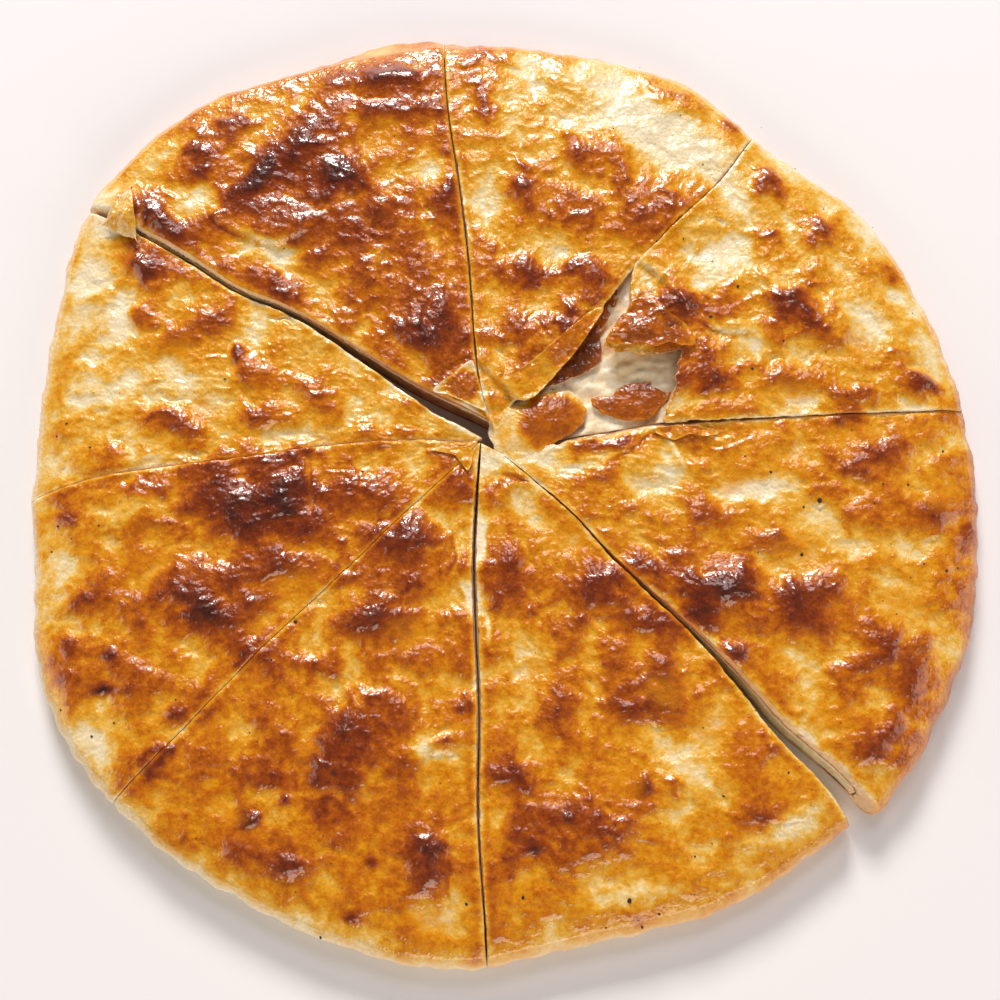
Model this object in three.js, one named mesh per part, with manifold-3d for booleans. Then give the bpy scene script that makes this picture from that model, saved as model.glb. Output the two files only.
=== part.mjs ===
// Imeruli khachapuri: a flat round bread of dough folded round curd cheese, baked until it blisters
// and cut through into eight slices that still lie together. At one place the top crust is torn
// open, and broken flakes of it lie on the bare filling. Millimetres, +Z up, +Y towards the back.
// The bread lies on z = 0 and the origin is under its middle. Slices take their names from the
// compass, with +Y as north: ene is the slice that points east-north-east.

import * as THREE from 'three';
import { mergeVertices } from 'three/addons/utils/BufferGeometryUtils.js';
import Module from 'manifold-3d';

const wasm = await Module();
wasm.setup();

// Thicknesses and heights
const RIM_HEIGHT = 8.5;
const MIDDLE_HEIGHT = 14.5;
const RISE = 11;
const TOP_SHEET = 3;
const BOTTOM_SHEET = 2.8;
const RIM_DOUGH = 9;
const EDGE_FILLING = 0.4;
const CLEARANCE = 0.35;
const CURD_HEIGHT = 10.4;
const CURD_LUMP = 0.6;
const CURD_STEP = 7;

// How finely a slice is divided: across it, and from its tip to its rim. The filling is divided
// into rings, and into segments all the way round.
const ACROSS = 12;
const ALONG = 12;
const FILLING_RINGS = 5;
const FILLING_SEGMENTS = 32;

// From tip to rim of a slice, and the share of it over which a cut face comes to its full lean
const REACH = 150;
const LEAN_RUN = 0.12;
const MERGE_WITHIN = 1e-4;

// The rounded rim below the top crust: [inset from the widest line, share of the height there]
const RIM_START = 3.4;
const RIM_ROUND = [[1.1, 0.74], [0, 0.42], [1.1, 0.13], [3, 0]];

// Outer radius round the middle: [degrees counter-clockwise from +X, mm]
const RIM = [
  [4, 149], [18, 147], [36, 146], [52, 140.5], [66, 147], [78, 146], [98, 149], [114, 153],
  [130, 162], [147, 163.5], [160, 155], [174, 151], [190, 152], [205, 159], [219, 158.5],
  [240, 153.5], [262, 152], [280, 146], [298, 149], [313, 150.5], [320, 155], [340, 153.5],
];

// The lower dough sheet stands out past the upper one here
const LIP = { degrees: 104, spread: 8, out: 4 };

// The cuts, counter-clockwise. A route runs outwards from the middle and ends on the rim, at so
// many degrees. The gaps are from the middle to the rim. A slice's top edge stands back from its
// foot by a lean, or hangs over its foot where that is negative: of the slice before the cut,
// which is the one clockwise of it, and of the slice after it.
const CUTS = [
  {
    name: 'east', end: 9, gaps: [0.6, 0.5, 0.5], leanBefore: 1.5, leanAfter: -1.5,
    route: [[0, 9], [5, 8.2], [18, 12.5], [33, 15], [47, 17.5], [68, 19], [95, 20.5], [125, 22]],
  },
  {
    name: 'north_east', end: 54.5, gaps: [0.6, 0.6, 0.5], leanBefore: 0.4, leanAfter: 0.4,
    route: [[-3.5, 12], [3, 25], [12, 34], [22, 45], [30, 56], [40, 68], [51, 79], [69, 97]],
  },
  {
    name: 'north', end: 98, gaps: [0.5, 1.1, 0.5], leanBefore: 0.5, leanAfter: 0.5,
    route: [[-5, 12.8], [-8, 28], [-10, 43], [-12, 70], [-15, 95], [-19, 122]],
  },
  {
    name: 'north_west', end: 147, gaps: [3.6, 3.4, 1.4, 0.5, 0.5, 0.5], leanBefore: 0.8, leanAfter: 0.4,
    route: [[-7.3, 12.6], [-12, 16.5], [-26, 25], [-54, 43.5], [-70, 53], [-87, 60], [-101, 69], [-120, 80]],
  },
  {
    name: 'west', end: 183.5, gaps: [0.5, 0.5, 0.5], leanBefore: 1.5, leanAfter: -1.5,
    route: [[-9, 11], [-14, 10], [-25, 10], [-57, 8], [-84, 4], [-109, 1], [-130, -2.5]],
  },
  {
    name: 'south_west', end: 220, gaps: [0.5, 0.5, 0.6], leanBefore: 0.4, leanAfter: 0.4,
    route: [[-9.2, 9.8], [-16, 2.5], [-28, -8.5], [-47, -27], [-73, -52], [-98, -78]],
  },
  {
    name: 'south', end: 267.8, gaps: [1.2, 1.5, 1.4, 0.5, 0.5], leanBefore: 0.4, leanAfter: 0.4,
    route: [[-8, 10.3], [-9.3, -9], [-10, -28], [-9.3, -50], [-8.3, -74], [-8.5, -105], [-6.5, -135]],
  },
  {
    name: 'south_east', end: 315.6, gaps: [0.5, 0.8, 1.6, 4, 6.4], leanBefore: 0.4, leanAfter: 2.4,
    route: [[-1.2, 6.8], [20, -11.5], [35, -28], [58.6, -50.5], [74, -68], [83.5, -79.6], [100, -95.2]],
  },
];

// The slices, counter-clockwise from the east cut, and how much higher than the lowest each lies
const SLICES = [
  { name: 'ene', lift: 0.8 },
  { name: 'nne', lift: 0 },
  { name: 'nnw', lift: 1.2 },
  { name: 'wnw', lift: 0 },
  { name: 'wsw', lift: 0.9 },
  { name: 'ssw', lift: 0.6 },
  { name: 'sse', lift: 0.2 },
  { name: 'ese', lift: 0 },
];

// Where steam raised the top crust: [x, y, half length, half width, turn in degrees, height]
const BLISTERS = [
  // ene, the last three along the torn edge
  [95, 54, 17, 12, -35, 2.8], [86, 96, 9, 6, 0, 1.6], [102, 80, 8, 6, 20, 1.6],
  [88, 31, 10, 4, 0, 1.2], [110, 26, 8, 4, 10, 1.4], [125, 30, 8, 5, 0, 1.5],
  [61, 34, 9, 7, 0, 1.5], [48, 50, 12, 8, 30, 2.2], [60, 56, 10, 8, 0, 1.2],
  // nne, the last one along its cut edge
  [43, 89, 20, 11, -10, 1.9], [6, 96, 5, 8, 0, 1.5], [21, 108, 12, 8, 10, 1.4],
  [-5, 74, 5, 9, 0, 1.2], [20, 84, 8, 6, 0, 1], [58, 125, 8, 5, -30, 1.6], [19, 52, 20, 5, 48, 1.6],
  // nnw
  [-65, 110, 10, 7, -10, 2.2], [-78, 98, 14, 6, 50, 1.9], [-55, 96, 11, 8, 0, 2], [-39, 121, 17, 5, 5, 2],
  [-37, 132, 15, 5, 8, 1.8], [-100, 100, 9, 5, 20, 1.5], [-86, 117, 7, 4, 0, 1.3],
  [-111, 82, 12, 5, -40, 1.8], [-74, 60, 9, 5, -20, 1.5], [-22, 47, 13, 9, 60, 2.2],
  [-19, 95, 5, 10, 0, 1.4], [-44, 80, 20, 16, 0, 1.1],
  // wnw
  [-112, 67, 13, 6, -40, 1.8], [-115, 51, 6, 4, 0, 1.1], [-90, 51, 7, 4, 0, 1.1], [-107, 16, 9, 6, 0, 1.5],
  [-78, 34, 8, 5, 0, 1.3], [-77, 21, 7, 4, 0, 1.1], [-58, 26, 10, 5, -20, 1.3],
  // wsw
  [-75, -12, 28, 14, -25, 1.6], [-97, -36, 11, 7, -30, 2], [-133, -39, 6, 4, 0, 1],
  [-111, -87, 6, 4, 0, 1.1],
  [-83, -56, 6, 5, 0, 1.1], [-99, -75, 6, 4, 0, 1.2],
  // ssw
  [-30, -23, 10, 7, 0, 1.8], [-42, -43, 11, 8, 0, 2], [-55, -59, 8, 6, 0, 1.3], [-44, -74, 16, 6, 35, 1.8],
  [-46, -88, 20, 11, 30, 2.4], [-75, -92, 8, 6, 0, 1.3], [-22, -117, 11, 8, 60, 2.2],
  [-63, -120, 8, 5, 0, 1.2],
  // sse
  [-2, -31, 6, 8, 0, 1.3], [31, -35, 17, 8, 20, 1.5], [45, -46, 8, 5, 0, 1.2], [42, -72, 9, 7, 0, 1.4],
  [4, -92, 8, 7, 0, 1.4], [28, -110, 16, 11, 20, 2.6], [81, -84, 7, 5, 0, 1.2], [80, -103, 7, 5, 0, 1.2],
  // ese
  [105, 3, 10, 6, 0, 1.5], [121, 7, 7, 4, 0, 1.3], [136, -14, 5, 9, 20, 1.5], [67, -37, 18, 10, -15, 2.8],
  [93, -39, 10, 9, 0, 1.7], [67, -56, 8, 5, 0, 1.2], [116, -52, 11, 9, 0, 1.8], [116, -85, 9, 7, 0, 1.4],
];

// Outline of the tear in the top crust of the ene slice, running past the slice on its open sides
const TEAR = [
  [-14, 0], [53, 0], [53, 23], [55, 32], [59, 38], [43, 38], [30, 42], [32, 54], [39, 67], [20, 75],
  [-14, 30],
];

// Broken flakes of top crust. Each lies round a place on the bare filling, and is a domed sheet
// with a half length, half width, turn, height of its middle, dome, slope per mm along x, and
// scallops of its outline: [how many, how deep]
const FLAKES = [
  {
    name: 'flake_round', at: [10.5, 20], half: [14, 8.4], turn: 9, height: 16.8, dome: 1.2, slope: -0.1,
    scallops: [3, 0.06],
  },
  {
    name: 'flake_red', at: [39.5, 25.5], half: [11.5, 5.5], turn: 6, height: 14.5, dome: 0.6, slope: 0.02,
    scallops: [5, 0.12],
  },
  {
    name: 'flake_dark', at: [23.5, 41], half: [11, 2.8], turn: 49, height: 14.6, dome: 0.6, slope: 0.04,
    scallops: [4, 0.08],
  },
];
const FLAKE_THICKNESS = 1.6;
const FLAKE_RINGS = 2;
const FLAKE_SEGMENTS = 16;

const crustMaterial = new THREE.MeshStandardMaterial({ color: 0xc98a3c, roughness: 0.35, metalness: 0 });
const fillingMaterial = new THREE.MeshStandardMaterial({ color: 0xead9a6, roughness: 0.6, metalness: 0 });
const flakeMaterial = new THREE.MeshStandardMaterial({ color: 0x9a4a20, roughness: 0.3, metalness: 0 });

function radians(degrees) {
  return THREE.MathUtils.degToRad(degrees);
}

// A value from an evenly spaced list, at a share of the way along it
function along(list, share) {
  const place = Math.min(Math.max(share, 0), 1) * (list.length - 1);
  const index = Math.min(Math.floor(place), list.length - 2);
  return THREE.MathUtils.lerp(list[index], list[index + 1], place - index);
}

// Outer radius at an angle, by a Catmull-Rom curve through the rim's list, closed on itself
function rimRadius(degrees) {
  const angle = THREE.MathUtils.euclideanModulo(degrees - RIM[0][0], 360) + RIM[0][0];
  let index = RIM.length - 1;
  while (RIM[index][0] > angle) {
    index -= 1;
  }
  const pick = (step) => RIM[THREE.MathUtils.euclideanModulo(index + step, RIM.length)];
  const span = THREE.MathUtils.euclideanModulo(pick(1)[0] - pick(0)[0], 360);
  const share = (angle - pick(0)[0]) / span;
  const [before, start, end, after] = [-1, 0, 1, 2].map((step) => pick(step)[1]);
  const bend = 2 * before - 5 * start + 4 * end - after;
  const twist = 3 * (start - end) + after - before;
  return start + 0.5 * share * (end - before + share * (bend + share * twist));
}

function rimPoint(degrees) {
  const radius = rimRadius(degrees);
  return new THREE.Vector2(radius * Math.cos(radians(degrees)), radius * Math.sin(radians(degrees)));
}

// Height of the top crust without its blisters
function crustLevel(point, lift) {
  const degrees = THREE.MathUtils.radToDeg(Math.atan2(point.y, point.x));
  const inset = Math.max(rimRadius(degrees) - point.length(), 0);
  return RIM_HEIGHT + (MIDDLE_HEIGHT - RIM_HEIGHT) * (1 - Math.exp(-inset / RISE)) + lift;
}

function blisterHeight(point) {
  let sum = 0;
  for (const [x, y, halfLength, halfWidth, turn, height] of BLISTERS) {
    const local = new THREE.Vector2(point.x - x, point.y - y);
    local.rotateAround(new THREE.Vector2(), -radians(turn));
    sum += height * Math.exp(-((local.x / halfLength) ** 2) - (local.y / halfWidth) ** 2);
  }
  return sum;
}

// A cut's middle line, from the middle of the bread to its rim
function cutCurve(cut) {
  const end = rimPoint(cut.end);
  const points = [...cut.route, [end.x, end.y]].map(([x, y]) => new THREE.Vector3(x, y, 0));
  return new THREE.CatmullRomCurve3(points);
}

// A point on a side of a cut: side is 1 on the slice after it and -1 on the slice before it, and
// back is how far the point stands back from the edge of the gap
function cutSide(cut, side, share, back) {
  const point = cut.curve.getPointAt(share);
  const run = cut.curve.getTangentAt(share);
  const offset = side * (along(cut.gaps, share) / 2 + back * Math.min(share / LEAN_RUN, 1));
  return new THREE.Vector2(point.x - run.y * offset, point.y + run.x * offset);
}

// The plan of a slice: plan(across, share, lifted) is the point at a share of the way across and
// from tip to rim, where lifted is 1 on the top edges and 0 on the feet
function slicePlan(before, after) {
  return (across, share, lifted) => {
    const first = (spot) => cutSide(before, 1, spot, before.leanAfter * lifted);
    const last = (spot) => cutSide(after, -1, spot, after.leanBefore * lifted);
    const angle = (point) => THREE.MathUtils.radToDeg(Math.atan2(point.y, point.x));
    const start = angle(first(1));
    const turn = THREE.MathUtils.euclideanModulo(angle(last(1)) - start, 360);
    const bulge = rimPoint(start + turn * across).sub(first(1).lerp(last(1), across));
    const inner = Math.min(share, 1);
    const point = first(inner).lerp(last(inner), across).addScaledVector(bulge, inner);
    return point.multiplyScalar(Math.max(share, 1));
  };
}

function at(flat, height) {
  return new THREE.Vector3(flat.x, flat.y, height);
}

// Two triangles on each square of a grid of points
function gridFaces(grid) {
  const faces = [];
  for (let i = 0; i + 1 < grid.length; i += 1) {
    for (let j = 0; j + 1 < grid[i].length; j += 1) {
      faces.push([grid[i][j], grid[i + 1][j], grid[i + 1][j + 1]]);
      faces.push([grid[i][j], grid[i + 1][j + 1], grid[i][j + 1]]);
    }
  }
  return faces;
}

// The same triangles seen from the other side
function turned(faces) {
  return faces.map(([a, b, c]) => [a, c, b]);
}

function fan(points) {
  return points.slice(2).map((point, index) => [points[0], points[index + 1], point]);
}

function volumeOf(faces) {
  return faces.reduce((sum, [a, b, c]) => sum + a.dot(b.clone().cross(c)), 0) / 6;
}

// A closed list of triangles as a solid, turned outwards if it came inside out
function solidOf(faces) {
  const outward = volumeOf(faces) > 0 ? faces : turned(faces);
  const merged = mergeVertices(new THREE.BufferGeometry().setFromPoints(outward.flat()), MERGE_WITHIN);
  return new wasm.Manifold(new wasm.Mesh({
    numProp: 3,
    vertProperties: merged.attributes.position.array,
    triVerts: Uint32Array.from(merged.index.array),
  }));
}

// A solid between an upper and a lower grid of the same size
function slab(upper, lower) {
  const rows = upper.length - 1;
  const columns = upper[0].length - 1;
  const wall = (top, bottom) => gridFaces([top, bottom]);
  return solidOf([
    ...gridFaces(upper),
    ...turned(gridFaces(lower)),
    ...wall(lower[0], upper[0]),
    ...wall(upper[rows], lower[rows]),
    ...wall(upper.map((row) => row[0]), lower.map((row) => row[0])),
    ...wall(lower.map((row) => row[columns]), upper.map((row) => row[columns])),
  ]);
}

function prism(outline, low, high) {
  const shape = new THREE.Shape(outline.map(([x, y]) => new THREE.Vector2(x, y)));
  const block = new THREE.ExtrudeGeometry(shape, { depth: high - low, bevelEnabled: false });
  block.translate(0, 0, low);
  const corner = new THREE.Vector3();
  const corners = [];
  for (let index = 0; index < block.attributes.position.count; index += 1) {
    corners.push(corner.fromBufferAttribute(block.attributes.position, index).clone());
  }
  const faces = [];
  for (let index = 0; index < corners.length; index += 3) {
    faces.push(corners.slice(index, index + 3));
  }
  return solidOf(faces);
}

// The whole slice: blistered top, rounded rim, slanting cut faces and a flat underside
function wholeSlice(plan, lift) {
  const top = [];
  const feet = [];
  for (let i = 0; i <= ACROSS; i += 1) {
    const across = i / ACROSS;
    const column = [];
    for (let j = 0; j <= ALONG; j += 1) {
      const flat = plan(across, (j / ALONG) * (1 - RIM_START / REACH), 1);
      column.push(at(flat, crustLevel(flat, lift) + blisterHeight(flat)));
    }
    const shoulder = column[ALONG].z;
    const degrees = THREE.MathUtils.radToDeg(Math.atan2(column[ALONG].y, column[ALONG].x));
    const lip = LIP.out * Math.exp(-(((degrees - LIP.degrees) / LIP.spread) ** 2));
    for (const [inset, part] of RIM_ROUND) {
      const out = part < 0.5 ? lip : 0;
      column.push(at(plan(across, 1 - (inset - out) / REACH, part), shoulder * part));
    }
    top.push(column);
    feet.push(column[column.length - 1]);
  }
  const edge = (across) => {
    const foot = [];
    for (let j = 0; j < ALONG; j += 1) {
      foot.push(at(plan(across, (j / ALONG) * (1 - RIM_START / REACH), 0), 0));
    }
    return foot;
  };
  const sides = [0, 1].map((across) => {
    const upper = top[across * ACROSS];
    const foot = [...edge(across), feet[across * ACROSS]];
    const face = [...gridFaces([upper.slice(0, ALONG + 1), foot]), ...fan(upper.slice(ALONG).reverse())];
    return { foot, face };
  });
  const [first, last] = sides;
  const tip = fan([first.foot[0], ...top.map((column) => column[0]), last.foot[0]]);
  const outline = [...first.foot, ...feet.slice(1, ACROSS), ...last.foot.slice().reverse()];
  const flat = outline.map((point) => new THREE.Vector2(point.x, point.y));
  const floor = THREE.ShapeUtils.triangulateShape(flat, []);
  return solidOf([
    ...gridFaces(top),
    ...floor.map((corners) => corners.map((corner) => outline[corner])),
    ...turned(first.face),
    ...last.face,
    ...turned(tip),
  ]);
}

// A closed round sheet: spot(share, angle, side) is its point at a share of the way from its middle
// to its edge, at an angle, on its upper (0) or lower (1) face
function disc(rings, segments, spot) {
  const face = (side) => {
    const grid = [];
    for (let segment = 0; segment <= segments; segment += 1) {
      const angle = ((segment % segments) / segments) * 2 * Math.PI;
      const spoke = [];
      for (let ring = 1; ring <= rings; ring += 1) {
        spoke.push(spot(ring / rings, angle, side));
      }
      grid.push(spoke);
    }
    const middle = spot(0, 0, side);
    const core = grid.slice(1).map((spoke, index) => [middle, spoke[0], grid[index][0]]);
    return { faces: [...core, ...gridFaces(grid)], edge: grid.map((spoke) => spoke[rings - 1]) };
  };
  const [upper, lower] = [0, 1].map(face);
  return solidOf([...upper.faces, ...turned(lower.faces), ...gridFaces([lower.edge, upper.edge])]);
}

// The room for the filling all round the bread, drawn in by a clearance. A slice takes its share.
function fillingRoom(lift, clearance) {
  return disc(FILLING_RINGS, FILLING_SEGMENTS, (share, angle, side) => {
    const rim = rimPoint(THREE.MathUtils.radToDeg(angle));
    const flat = rim.setLength((rim.length() - RIM_DOUGH - clearance) * share);
    const full = crustLevel(flat, lift) - TOP_SHEET;
    const roof = share < 1 ? full : THREE.MathUtils.lerp(BOTTOM_SHEET, full, EDGE_FILLING);
    return at(flat, side === 0 ? roof - clearance : BOTTOM_SHEET + clearance);
  });
}

// Curd laid bare in the tear: a slab with a lumpy top
function bareCurd() {
  const box = new THREE.Box2().setFromPoints(TEAR.map(([x, y]) => new THREE.Vector2(x, y)));
  const upper = [];
  const lower = [];
  for (let x = box.min.x - CURD_STEP; x <= box.max.x + CURD_STEP; x += CURD_STEP) {
    const high = [];
    const low = [];
    for (let y = box.min.y - CURD_STEP; y <= box.max.y + CURD_STEP; y += CURD_STEP) {
      const lump = CURD_LUMP * Math.sin(x / 4.3) * Math.cos(y / 3.7);
      high.push(new THREE.Vector3(x, y, CURD_HEIGHT + lump));
      low.push(new THREE.Vector3(x, y, BOTTOM_SHEET * 2));
    }
    upper.push(high);
    lower.push(low);
  }
  return slab(upper, lower);
}

// The tear's outline drawn in by a clearance. It runs counter-clockwise, so each edge moves left.
function tearOutline(clearance) {
  const corners = TEAR.map(([x, y]) => new THREE.Vector2(x, y));
  return corners.map((corner, index) => {
    const before = corners.at(index - 1);
    const after = corners[(index + 1) % corners.length];
    const [first, second] = [corner.clone().sub(before), after.clone().sub(corner)].map((edge) => (
      new THREE.Vector2(-edge.y, edge.x).normalize()
    ));
    const inward = first.clone().add(second);
    return corner.clone().addScaledVector(inward, (2 * clearance) / inward.lengthSq()).toArray();
  });
}

// A broken flake of crust: a domed, sloping sheet with a scalloped outline
function flake({ at: [x, y], half, turn, height, dome, slope, scallops: [count, depth] }) {
  return disc(FLAKE_RINGS, FLAKE_SEGMENTS, (share, angle, side) => {
    const reach = share * (1 + depth * Math.sin(count * angle));
    const local = new THREE.Vector2(half[0] * reach * Math.cos(angle), half[1] * reach * Math.sin(angle));
    local.rotateAround(new THREE.Vector2(), radians(turn));
    const level = height + slope * local.x - dome * reach ** 2;
    return new THREE.Vector3(x + local.x, y + local.y, level - FLAKE_THICKNESS * side);
  });
}

function meshOf(name, solid, material) {
  const { vertProperties, triVerts } = solid.getMesh();
  const geometry = new THREE.BufferGeometry();
  geometry.setAttribute('position', new THREE.BufferAttribute(vertProperties, 3));
  geometry.setIndex(new THREE.BufferAttribute(triVerts, 1));
  geometry.computeVertexNormals();
  const mesh = new THREE.Mesh(geometry, material);
  mesh.name = name;
  return mesh;
}

const khachapuri = new THREE.Group();
khachapuri.name = 'khachapuri';

for (const cut of CUTS) {
  cut.curve = cutCurve(cut);
}

SLICES.forEach(({ name, lift }, index) => {
  const plan = slicePlan(CUTS[index], CUTS[(index + 1) % CUTS.length]);
  const slice = wholeSlice(plan, lift);
  let crust = slice.subtract(fillingRoom(lift, 0));
  let filling = slice.intersect(fillingRoom(lift, CLEARANCE));
  if (name === 'ene') {
    const high = MIDDLE_HEIGHT * 2;
    crust = crust.subtract(prism(tearOutline(0), BOTTOM_SHEET * 2, high));
    const curd = bareCurd().intersect(prism(tearOutline(CLEARANCE), BOTTOM_SHEET, high));
    filling = filling.add(slice.intersect(curd));
  }
  khachapuri.add(meshOf(`crust_${name}`, crust, crustMaterial));
  khachapuri.add(meshOf(`filling_${name}`, filling, fillingMaterial));
});

for (const form of FLAKES) {
  khachapuri.add(meshOf(form.name, flake(form), flakeMaterial));
}

export default khachapuri;
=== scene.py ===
"""Imeruli khachapuri cut into eight slices: the looks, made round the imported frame.

The shapes are worked out in millimetres in the frame's own axes, +Z up and +Y towards the back,
and turned to metres when a mesh is made. Slices have the names of the frame's nodes.
"""

import math

import bpy
import numpy as np
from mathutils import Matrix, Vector


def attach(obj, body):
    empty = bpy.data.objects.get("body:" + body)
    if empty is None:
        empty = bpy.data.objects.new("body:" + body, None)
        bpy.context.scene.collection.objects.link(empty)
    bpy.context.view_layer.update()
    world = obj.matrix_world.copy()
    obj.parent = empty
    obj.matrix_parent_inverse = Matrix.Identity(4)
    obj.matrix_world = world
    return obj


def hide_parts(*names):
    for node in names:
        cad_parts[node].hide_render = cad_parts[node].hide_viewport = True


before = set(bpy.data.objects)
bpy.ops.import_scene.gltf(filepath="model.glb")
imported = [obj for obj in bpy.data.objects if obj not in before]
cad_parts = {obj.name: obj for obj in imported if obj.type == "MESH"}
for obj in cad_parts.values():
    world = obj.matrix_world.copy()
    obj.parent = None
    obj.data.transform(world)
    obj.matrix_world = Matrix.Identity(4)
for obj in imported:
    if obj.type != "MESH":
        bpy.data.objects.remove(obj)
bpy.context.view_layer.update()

MM = 0.001

# ------------------------------------------------------------------ sizes, as in the frame's design
RIM_HEIGHT = 8.5
MIDDLE_HEIGHT = 14.5
RISE = 11
TOP_SHEET = 3
BOTTOM_SHEET = 2.8
RIM_DOUGH = 9
CLEARANCE = 0.08
EDGE_FILLING = 0.4
CURD_HEIGHT = 10.4
REACH = 150
LEAN_RUN = 0.12
SLICE_WIDTH = 115
RIM_START = 3.4
LIP = (104, 8, 4)

# From the top crust's edge round the rim to the underside: (inset from the widest line, height share)
RIM_ROUND = [(3.4, 1), (1.1, 0.74), (0, 0.42), (1.1, 0.13), (3, 0)]

# Outer radius round the middle: (degrees counter-clockwise from +X, mm)
RIM = [
    (4, 149), (18, 147), (36, 146), (52, 140.5), (66, 147), (78, 146), (98, 149), (114, 153), (130, 162),
    (147, 163.5), (160, 155), (174, 151), (190, 152), (205, 159), (219, 158.5), (240, 153.5), (262, 152),
    (280, 146), (298, 149), (313, 150.5), (320, 155), (340, 153.5),
]

# The cuts, counter-clockwise: end angle, gaps from middle to rim, how far the top of the slice before
# and after the cut stands back from it, how ragged they are, how dark their faces are coloured (browned
# dough and painted shade of the seams), and the route
CUTS = [
    dict(end=9, gaps=[0.25, 0.12, 0.05, 0.03], before=[1.5], after=[-1.5], rag=[3, 8, 4, 1, 0.4, 0.3],
        tone=[0.35, 0.4],
        route=[(0, 9), (5, 8.2), (18, 12.5), (33, 15), (47, 17.5), (68, 19), (95, 20.5), (125, 22)]),
    dict(end=54.5, gaps=[0.15, 0.15, 0.1], before=[0.12], after=[0, -1.5, -2.6, -1.4, 0, 0, 0.1],
        rag=[1, 3, 3, 1, 0.5], tone=[0.7, 0.6, 0.45],
        route=[(-3.5, 12), (3, 25), (12, 34), (22, 45), (30, 56), (40, 68), (51, 79), (69, 97)]),
    dict(end=98, gaps=[0.08, 0.06, 0.03], before=[0.1, 0.3, 0.15], after=[0.1, 0.3, 0.1],
        rag=[0.5, 2, 2, 1], tone=[0.35, 0.5, 0.4],
        route=[(-4, 15.5), (-8, 28), (-10, 43), (-12, 70), (-15, 95), (-19, 122)]),
    dict(end=147, gaps=[6, 5.2, 3.2, 2.4, 1.6, 1, 0.5, 0.2, 0.05, 0.05, 0.05],
        before=[0.8, 0.9, 1.3, 2.2, 2], after=[0.02], rag=[1, 1.5, 1], tone=[0.55, 0.5, 0.35, 0.12, 0.1],
        route=[(-6.2, 14.6), (-12, 17.6), (-26, 25), (-54, 43.5), (-70, 53), (-87, 60), (-101, 69),
            (-120, 80)]),
    dict(end=183.5, gaps=[0.15, 0.15, 0.2], before=[1.5], after=[-1.5], rag=[1, 2, 1], tone=[0.5, 0.5],
        route=[(-9, 11), (-14, 10), (-25, 10), (-57, 8), (-84, 4), (-109, 1), (-130, -2.5)]),
    dict(end=220, gaps=[0.06, 0.06, 0.1], before=[0], after=[0], rag=[0.2, 0.2, 0.4], tone=[0.35, 0.35],
        route=[(-9.2, 9.8), (-16, 2.5), (-28, -8.5), (-47, -27), (-73, -52), (-98, -78)]),
    dict(end=267.8, gaps=[0.4, 0.4, 0.25, 0.06, 0.04], before=[0.3, 0.5, 0.4, 0.2],
        after=[0.3, 0.5, 0.4, 0.2], rag=[1, 2, 3, 1.5, 1], tone=[0.5, 0.35, 0.35, 0.5, 0.5],
        route=[(-8, 10.3), (-9.3, -9), (-10, -28), (-9.3, -50), (-8.3, -74), (-8.5, -105), (-6.5, -135)]),
    dict(end=315.6, gaps=[0.1, 0.15, 0.4, 2.6, 6.4], before=[0.1, 0.2, 0.1],
        after=[0.1, 0.3, 1.4, 2.4, 2.6], rag=[1, 1, 2.5, 3, 3], tone=[0.5, 0.5, 0.35, 0.22, 0.16],
        route=[(-1.2, 6.8), (20, -11.5), (35, -28), (58.6, -50.5), (74, -68), (83.5, -79.6),
            (100, -95.2)]),
]

# Each slice: how much higher it lies than the lowest, and how much darker than the rest it is coloured;
# the paler values of the back slices (ene, nne, wnw) are partly painted reflection of the sky
SLICES = {
    "ene": (0.8, -0.13), "nne": (0, -0.1), "nnw": (1.2, 0.03), "wnw": (0, -0.11),
    "wsw": (0.9, 0.04), "ssw": (0.6, 0.02), "sse": (0.2, -0.01), "ese": (0, -0.05),
}

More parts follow.
